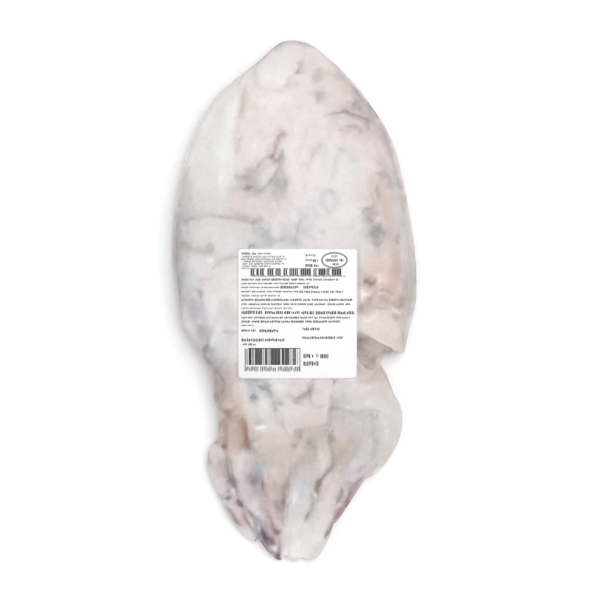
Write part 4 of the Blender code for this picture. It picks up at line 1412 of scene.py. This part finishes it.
def wet_flesh(name, base_colour):
    """Raw flesh with a little light inside it, wet under clinging film."""
    made = Finish(name)
    made.link(base_colour(made), made.shaded(made.mapped(*FLESH_MOTTLE)))
    made.link(made.mapped(*FLESH_ROUGHNESS), made.shader.inputs["Roughness"])
    for socket, value in FLESH_SOCKETS.items():
        made.shader.inputs[socket].default_value = value
    made.link(made.bump(*GRAIN), made.shader.inputs["Normal"])
    made.link(made.bump(*WRINKLE, made.bump(*FILM)), made.shader.inputs["Coat Normal"])
    return made.material


def painted_colour(made):
    """The colour that was painted on the skin's points."""
    layer = made.nodes.new("ShaderNodeVertexColor")
    layer.layer_name = "skin_colour"
    return layer.outputs["Color"]


def underside_colour(made):
    """The back's skin: pale, with soft grey and rose clouds."""
    clouds = made.nodes.new("ShaderNodeValToRGB")
    made.link(made.noise(*UNDERSIDE_NOISE), clouds.inputs["Fac"])
    stops = clouds.color_ramp.elements
    stops.new(UNDERSIDE_STOPS[1][0])
    for stop, (position, name) in zip(stops, UNDERSIDE_STOPS):
        stop.position = position
        stop.color = (*to_linear(tone(name)), 1)
    return clouds.outputs["Color"]


def plain_material(name, colour, roughness):
    """One colour with a faint unevenness of shade."""
    made = Finish(name)
    shade = made.shaded(made.mapped(*PLAIN_SHADE))
    shade.default_value = tuple(to_linear(np.array(colour) / 255))
    made.shader.inputs["Roughness"].default_value = roughness
    return made.material


# Label


def drape(body):
    """Height of the label's underside on a grid: it lies on the body and bridges its hollows."""
    tree = BVHTree.FromObject(body, bpy.context.evaluated_depsgraph_get())
    columns, rows = LABEL_CELLS
    xs = LABEL_CENTRE[0] + np.linspace(-LABEL_WIDTH / 2, LABEL_WIDTH / 2, columns + 1)
    ys = LABEL_CENTRE[1] + np.linspace(-LABEL_LENGTH / 2, LABEL_LENGTH / 2, rows + 1)
    floor = np.zeros((rows + 1, columns + 1))
    for j, y in enumerate(ys):
        for i, x in enumerate(xs):
            hit = tree.ray_cast(Vector((x, y, LENGTH)), Vector((0, 0, -1)))[0]
            floor[j, i] = hit.z if hit else 0
    padded = np.pad(floor, 1, mode="edge")
    shifts = itertools.product(range(3), repeat=2)
    floor = np.max([padded[a : a + rows + 1, b : b + columns + 1] for a, b in shifts], axis=0)
    floor += LABEL_GAP
    heights = floor.copy()
    for _ in range(LABEL_RELAX_STEPS):
        relaxed = heights.copy()
        relaxed[1:-1, 1:-1] = (
            heights[:-2, 1:-1] + heights[2:, 1:-1] + heights[1:-1, :-2] + heights[1:-1, 2:]
        ) / 4
        for edge in ((0, slice(None)), (-1, slice(None)), (slice(None), 0), (slice(None), -1)):
            strip = heights[edge]
            relaxed[edge][1:-1] = (strip[:-2] + strip[2:]) / 2
        heights = np.maximum(floor, relaxed)
    return xs, ys, heights


def make_label(body):
    """A thin sheet with rounded corners that follows the belly, and its height as a function."""
    xs, ys, heights = drape(body)
    half = np.array([LABEL_WIDTH / 2, LABEL_LENGTH / 2])
    middle = np.array(LABEL_CENTRE)
    inner = half - LABEL_CORNER
    sheet = bmesh.new()
    grid = []
    for j, y in enumerate(ys):
        row = []
        for i, x in enumerate(xs):
            offset = np.array([x, y]) - middle
            over = np.abs(offset) - inner
            if (over > 0).all():
                over *= np.abs(over).max() / np.linalg.norm(over)
                offset = np.sign(offset) * (inner + over)
            row.append(sheet.verts.new((*(middle + offset), heights[j, i])))
        grid.append(row)
    for low, high in zip(grid, grid[1:]):
        for i in range(len(low) - 1):
            sheet.faces.new((low[i], low[i + 1], high[i + 1], high[i]))
    label = to_object(sheet, "label_sheet")
    thickness = label.modifiers.new("thickness", "SOLIDIFY")
    thickness.thickness = LABEL_THICKNESS
    thickness.offset = 1
    made = evaluated_copy(label, "label_paper")
    bpy.data.objects.remove(label)
    made.data.shade_smooth()

    def top(x, y):
        i = np.clip((x - xs[0]) / (xs[1] - xs[0]), 0, len(xs) - LAST_CELL)
        j = np.clip((y - ys[0]) / (ys[1] - ys[0]), 0, len(ys) - LAST_CELL)
        a, b = int(i), int(j)
        u, v = i - a, j - b
        low = heights[b, a] * (1 - u) + heights[b, a + 1] * u
        high = heights[b + 1, a] * (1 - u) + heights[b + 1, a + 1] * u
        return low * (1 - v) + high * v + LABEL_THICKNESS

    return made, top


# Print

# Rows of narrow blocks: the row's y, its first and last x, its height, and its mean word length
BLACK_ROWS = (
    (253.0, 241.5, 256, 2.2, 8),
    (253.0, 257, 271, 1.4, 7),
    (265.0, 305, 318, 2.8, 9),
    (260.0, 312.5, 317.5, 3.0, 5),
    (259.6, 325, 343, 2.9, 12),
    (263.6, 332, 338, 2.6, 9),
    (279.0, 241, 338, 2.2, 8),
    (282.9, 241, 309, 1.6, 7),
    (286.8, 241, 279, 1.5, 8),
    (286.6, 280, 298, 2.6, 20),
    (286.6, 303, 318, 2.8, 16),
    (291.0, 241, 298, 1.6, 8),
    (291.2, 299, 343, 2.3, 7),
    (299.2, 241, 352, 2.2, 12),
    (303.6, 241, 350, 1.8, 8),
    (311.8, 241, 262, 3.4, 20),
    (312.0, 264.5, 299, 3.0, 8),
    (312.2, 301, 354, 3.2, 8),
    (317.0, 241, 350, 2.0, 6),
    (321.0, 241, 340, 2.2, 11),
    (324.8, 241, 254, 1.3, 5),
    (330.0, 241, 256, 2.2, 6),
    (330.2, 259, 278, 2.8, 20),
    (328.4, 302, 319, 2.8, 8),
    (337.2, 302, 343, 2.5, 12),
    (339.4, 241, 284, 3.2, 16),
    (343.9, 242, 255, 2.2, 5),
    (355.6, 303, 313, 4.2, 12),
    (355.6, 316, 318, 4.2, 2),
    (355.8, 320, 328, 4.2, 12),
    (363.2, 303, 318, 4.6, 20),
)
GREY_ROWS = (
    (256.0, 242, 284, 1.8, 7),
    (258.4, 241, 286, 1.8, 6),
    (260.8, 243, 282, 1.8, 8),
    (263.2, 242, 284, 1.8, 7),
    (265.6, 242, 270, 1.8, 6),
    (267.8, 241, 250, 1.2, 5),
    (254.6, 305, 316, 2.6, 12),
    (259.4, 305, 312, 2.4, 9),
    (255.6, 331, 337, 2.4, 9),
    (275.6, 250, 346, 1.2, 9),
    (295.0, 241, 280, 2.0, 7),
    (307.6, 241, 292, 1.8, 7),
    (368.6, 245, 300, 5.0, 12),
)

# Blocks: width and gap as shares of the row's height within limits, and how high and low they reach
BLOCK_WIDTH = (0.34, 0.56)
BLOCK_GAP = (0.15, 0.29)
BLOCK_RISE = (1.0, 1.0, 0.6)
BLOCK_FALL = (1.0, 1.0, 1.0, 0.6)
BLOCK_SIZES = (1.6, 2.6)
# Words: length as a share of the mean, the gap after one, and what may be left over at an end
WORD_LENGTH = (0.5, 1.4)
WORD_GAP = (0.5, 1.3)
ROW_SLACK, WORD_SLACK, RUN_SLACK = 0.4, 0.2, 0.01
PRINT_SEED = 7

# Runs of upright stripes: the first and last x, the width of a stripe, and the gap
HEADING_TOP, HEADING_FOOT = 268.6, 274.2
HEADING_EDGE = 1.0
HEADING_RUNS = (
    (250.2, 255.2, 1.5, 0.5),
    (256.0, 258.6, 2.2, 1.0),
    (259.6, 264.2, 1.6, 0.5),
    (267.0, 273.8, 1.6, 0.5),
    (275.0, 280.2, 1.4, 0.5),
    (283.0, 287.8, 1.5, 0.6),
    (289.0, 299.2, 1.3, 0.5),
    (300.0, 310.8, 1.8, 0.35),
    (313.0, 317.2, 1.2, 0.7),
    (318.0, 325.2, 2.2, 0.25),
    (326.0, 330.2, 1.2, 0.6),
    (331.4, 341.2, 2.1, 0.35),
)
STRIPES_TOP, STRIPES_FOOT = 348.3, 364.6
STRIPES_RUNS = (
    (245.4, 247.6, 0.5, 0.6),
    (248.0, 251.0, 2.8, 0.4),
    (251.3, 253.9, 0.5, 0.3),
    (254.2, 261.8, 1.1, 0.15),
    (262.2, 263.9, 0.4, 0.4),
    (264.3, 267.1, 1.2, 0.15),
    (267.5, 269.7, 0.4, 0.4),
    (270.0, 281.1, 1.3, 0.15),
    (281.2, 283.8, 2.5, 0.3),
    (284.1, 289.2, 1.1, 0.15),
    (289.7, 291.7, 0.4, 0.5),
    (292.1, 296.3, 1.0, 0.25),
    (296.9, 298.4, 0.5, 0.6),
)
STRIPES_CAP = (247.6, 299.4, 347.5, 348.3)
STRIPES_SIDES = ((244.0, 245.0, 347.5, 371.0), (299.0, 300.0, 347.5, 371.0))

# An oval line
OVAL_CENTRE = (334.0, 259.6)
OVAL_RADII = (12.6, 7.4)
OVAL_LINE = 1.7
OVAL_SIDES = 64

# From the picture to the raised label, and the print's height above it, thickness and longest step
LABEL_SHRINK = 0.972
PRINT_SHIFT = 0.6
PRINT_LIFT = 0.00004
PRINT_DEPTH = 0.00003
PRINT_STEP = 0.0025


def on_label(x, y):
    """Metres across and along the label for these pixels of the picture."""
    return (
        (x + PRINT_SHIFT - ORIGIN_PIXEL[0]) * PIXEL * LABEL_SHRINK,
        (ORIGIN_PIXEL[1] - y - PRINT_SHIFT) * PIXEL * LABEL_SHRINK,
    )


def bar(shell, top, left, right, upper, lower):
    """A thin slab of print on the label, between these pixel sides, that follows its surface."""
    x0, y0 = on_label(left, lower)
    x1, y1 = on_label(right, upper)
    columns = max(1, math.ceil((x1 - x0) / PRINT_STEP))
    rows = max(1, math.ceil((y1 - y0) / PRINT_STEP))
    layers = []
    for lift in (PRINT_LIFT, PRINT_LIFT + PRINT_DEPTH):
        grid = []
        for y in np.linspace(y0, y1, rows + 1):
            across = np.linspace(x0, x1, columns + 1)
            grid.append([shell.verts.new((x, y, top(x, y) + lift)) for x in across])
        layers.append(grid)
    low, high = layers
    for j in range(rows):
        for i in range(columns):
            shell.faces.new((high[j][i], high[j][i + 1], high[j + 1][i + 1], high[j + 1][i]))
            shell.faces.new((low[j][i], low[j + 1][i], low[j + 1][i + 1], low[j][i + 1]))
    ring = [(0, i) for i in range(columns)] + [(j, columns) for j in range(rows)]
    ring += [(rows, i) for i in range(columns, 0, -1)] + [(j, 0) for j in range(rows, 0, -1)]
    for (a, b), (c, d) in zip(ring, ring[1:] + ring[:1]):
        shell.faces.new((low[a][b], low[c][d], high[c][d], high[a][b]))


def print_row(shell, top, draw, y, left, right, height, word):
    """One row of words, each of narrow blocks of which some stand lower than the rest."""
    size = min(max(height, BLOCK_SIZES[0]), BLOCK_SIZES[1])
    x = float(left)
    while x < right - ROW_SLACK:
        end = min(right, x + word * draw.uniform(*WORD_LENGTH))
        while x < end - WORD_SLACK:
            width = min(size * draw.uniform(*BLOCK_WIDTH), right - x)
            upper = y - height / 2 * draw.choice(BLOCK_RISE)
            lower = y + height / 2 * draw.choice(BLOCK_FALL)
            bar(shell, top, x, x + width, upper, lower)
            x += width + size * draw.uniform(*BLOCK_GAP)
        x += draw.uniform(*WORD_GAP)


def print_runs(shell, top, runs, upper, lower):
    """Runs of even upright stripes between two heights."""
    for left, right, stripe, gap in runs:
        x = left
        while x + stripe <= right + RUN_SLACK:
            bar(shell, top, x, x + stripe, upper, lower)
            x += stripe + gap


def print_oval(shell, top):
    """A plain oval line."""
    loops = []
    for lift in (PRINT_LIFT, PRINT_LIFT + PRINT_DEPTH):
        for grow in (-OVAL_LINE / 2, OVAL_LINE / 2):
            loop = []
            for k in range(OVAL_SIDES):
                angle = 2 * math.pi * k / OVAL_SIDES
                x, y = on_label(
                    OVAL_CENTRE[0] + (OVAL_RADII[0] + grow) * math.cos(angle),
                    OVAL_CENTRE[1] - (OVAL_RADII[1] + grow) * math.sin(angle),
                )
                loop.append(shell.verts.new((x, y, top(x, y) + lift)))
            loops.append(loop)
    low_in, low_out, high_in, high_out = loops
    for k in range(OVAL_SIDES):
        n = (k + 1) % OVAL_SIDES
        shell.faces.new((high_in[k], high_out[k], high_out[n], high_in[n]))
        shell.faces.new((low_in[k], low_in[n], low_out[n], low_out[k]))
        shell.faces.new((low_out[k], low_out[n], high_out[n], high_out[k]))
        shell.faces.new((low_in[k], high_in[k], high_in[n], low_in[n]))


def make_print(top):
    """The black print and the grey print."""
    draw = np.random.default_rng(PRINT_SEED)
    black, grey = bmesh.new(), bmesh.new()
    for row in BLACK_ROWS:
        print_row(black, top, draw, *row)
    print_runs(black, top, HEADING_RUNS, HEADING_TOP, HEADING_FOOT)
    print_runs(black, top, STRIPES_RUNS, STRIPES_TOP, STRIPES_FOOT)
    for row in GREY_ROWS:
        print_row(grey, top, draw, *row)
    for left, right, _, _ in HEADING_RUNS:
        bar(grey, top, left, right, HEADING_TOP - HEADING_EDGE, HEADING_TOP)
        bar(grey, top, left, right, HEADING_FOOT, HEADING_FOOT + HEADING_EDGE)
    bar(black, top, *STRIPES_CAP)
    for side in STRIPES_SIDES:
        bar(grey, top, *side)
    print_oval(grey, top)
    return to_object(black, "label_print"), to_object(grey, "label_print_grey")


# Stage

FLOOR_SIZE = 6
FLOOR_DROP = 0.0002
AMBIENT = 0.80
# Round lamps that look at the origin: name, place, size and watts
LAMPS = (
    ("key", (0.62, 0.55, 1.80), 1.5, 16),
    ("spark", (0.75, -0.85, 1.05), 0.12, 0.9),
)
CLIP_START = 0.01


def make_floor():
    """A plain pale floor, just below the object."""
    bpy.ops.mesh.primitive_plane_add(size=FLOOR_SIZE, location=(0, 0, -FLOOR_DROP))
    floor = bpy.context.object
    floor.name = "floor"
    floor.data.materials.append(plain_material("floor_white", *FLOOR_WHITE))
    return floor


def make_camera():
    """A camera at the photograph's eye, which looks straight down."""
    data = bpy.data.cameras.new("camera")
    data.sensor_width = SENSOR
    data.lens = SENSOR * FOCUS / (FRAME_PIXELS * PIXEL)
    data.clip_start = CLIP_START
    camera = link("camera", data)
    camera.location = EYE
    bpy.context.scene.camera = camera


def light_stage():
    """Even light from all round and two lamps, shown with plain colours."""
    world = bpy.data.worlds.new("studio")
    world.use_nodes = True
    background = world.node_tree.nodes["Background"]
    background.inputs["Color"].default_value = (1, 1, 1, 1)
    background.inputs["Strength"].default_value = AMBIENT
    bpy.context.scene.world = world
    for name, place, size, watts in LAMPS:
        data = bpy.data.lights.new(name, "AREA")
        data.shape = "DISK"
        data.size = size
        data.energy = watts
        lamp = link(name, data)
        lamp.location = place
        lamp.rotation_euler = (-Vector(place)).to_track_quat("-Z", "Y").to_euler()
    bpy.context.scene.view_settings.view_transform = "Standard"


def make_skin():
    """The whole animal as one fine skin, sculpted and painted."""
    pieces = [make_mantle(), make_fin("left"), make_fin("right")]
    pieces.append(make_slab("head", HEAD_STATIONS, HEAD_WAIST))
    pieces.append(make_slab("web", WEB_STATIONS, WEB_WAIST))
    for name, (flatness, lift), stations in read_table(LIMBS):
        pieces.append(make_limb(name, stations, flatness, lift))
    skin = soften(fuse(pieces, make_pocket()), "cuttlefish_skin")
    skin.data.materials.clear()
    flatten_underside(skin)
    canvas = Canvas(skin)
    fill_creases(canvas)
    sculpt(canvas)
    store_colour(skin, paint(canvas))
    for face in skin.data.polygons:
        face.use_smooth = face.material_index == 0
    skin.data.materials.append(wet_flesh("wet_flesh", painted_colour))
    skin.data.materials.append(wet_flesh("wet_underside", underside_colour))
    return skin


def main():
    skin = make_skin()
    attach(skin, "root")
    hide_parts("cuttlefish")
    paper, top = make_label(skin)
    paper.data.materials.append(plain_material("label_white", *LABEL_WHITE))
    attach(paper, "root")
    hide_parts("label")
    for words in make_print(top):
        words.data.materials.append(plain_material(words.name + "_ink", *INKS[words.name]))
        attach(words, "root")
    floor = make_floor()
    make_camera()
    light_stage()


main()
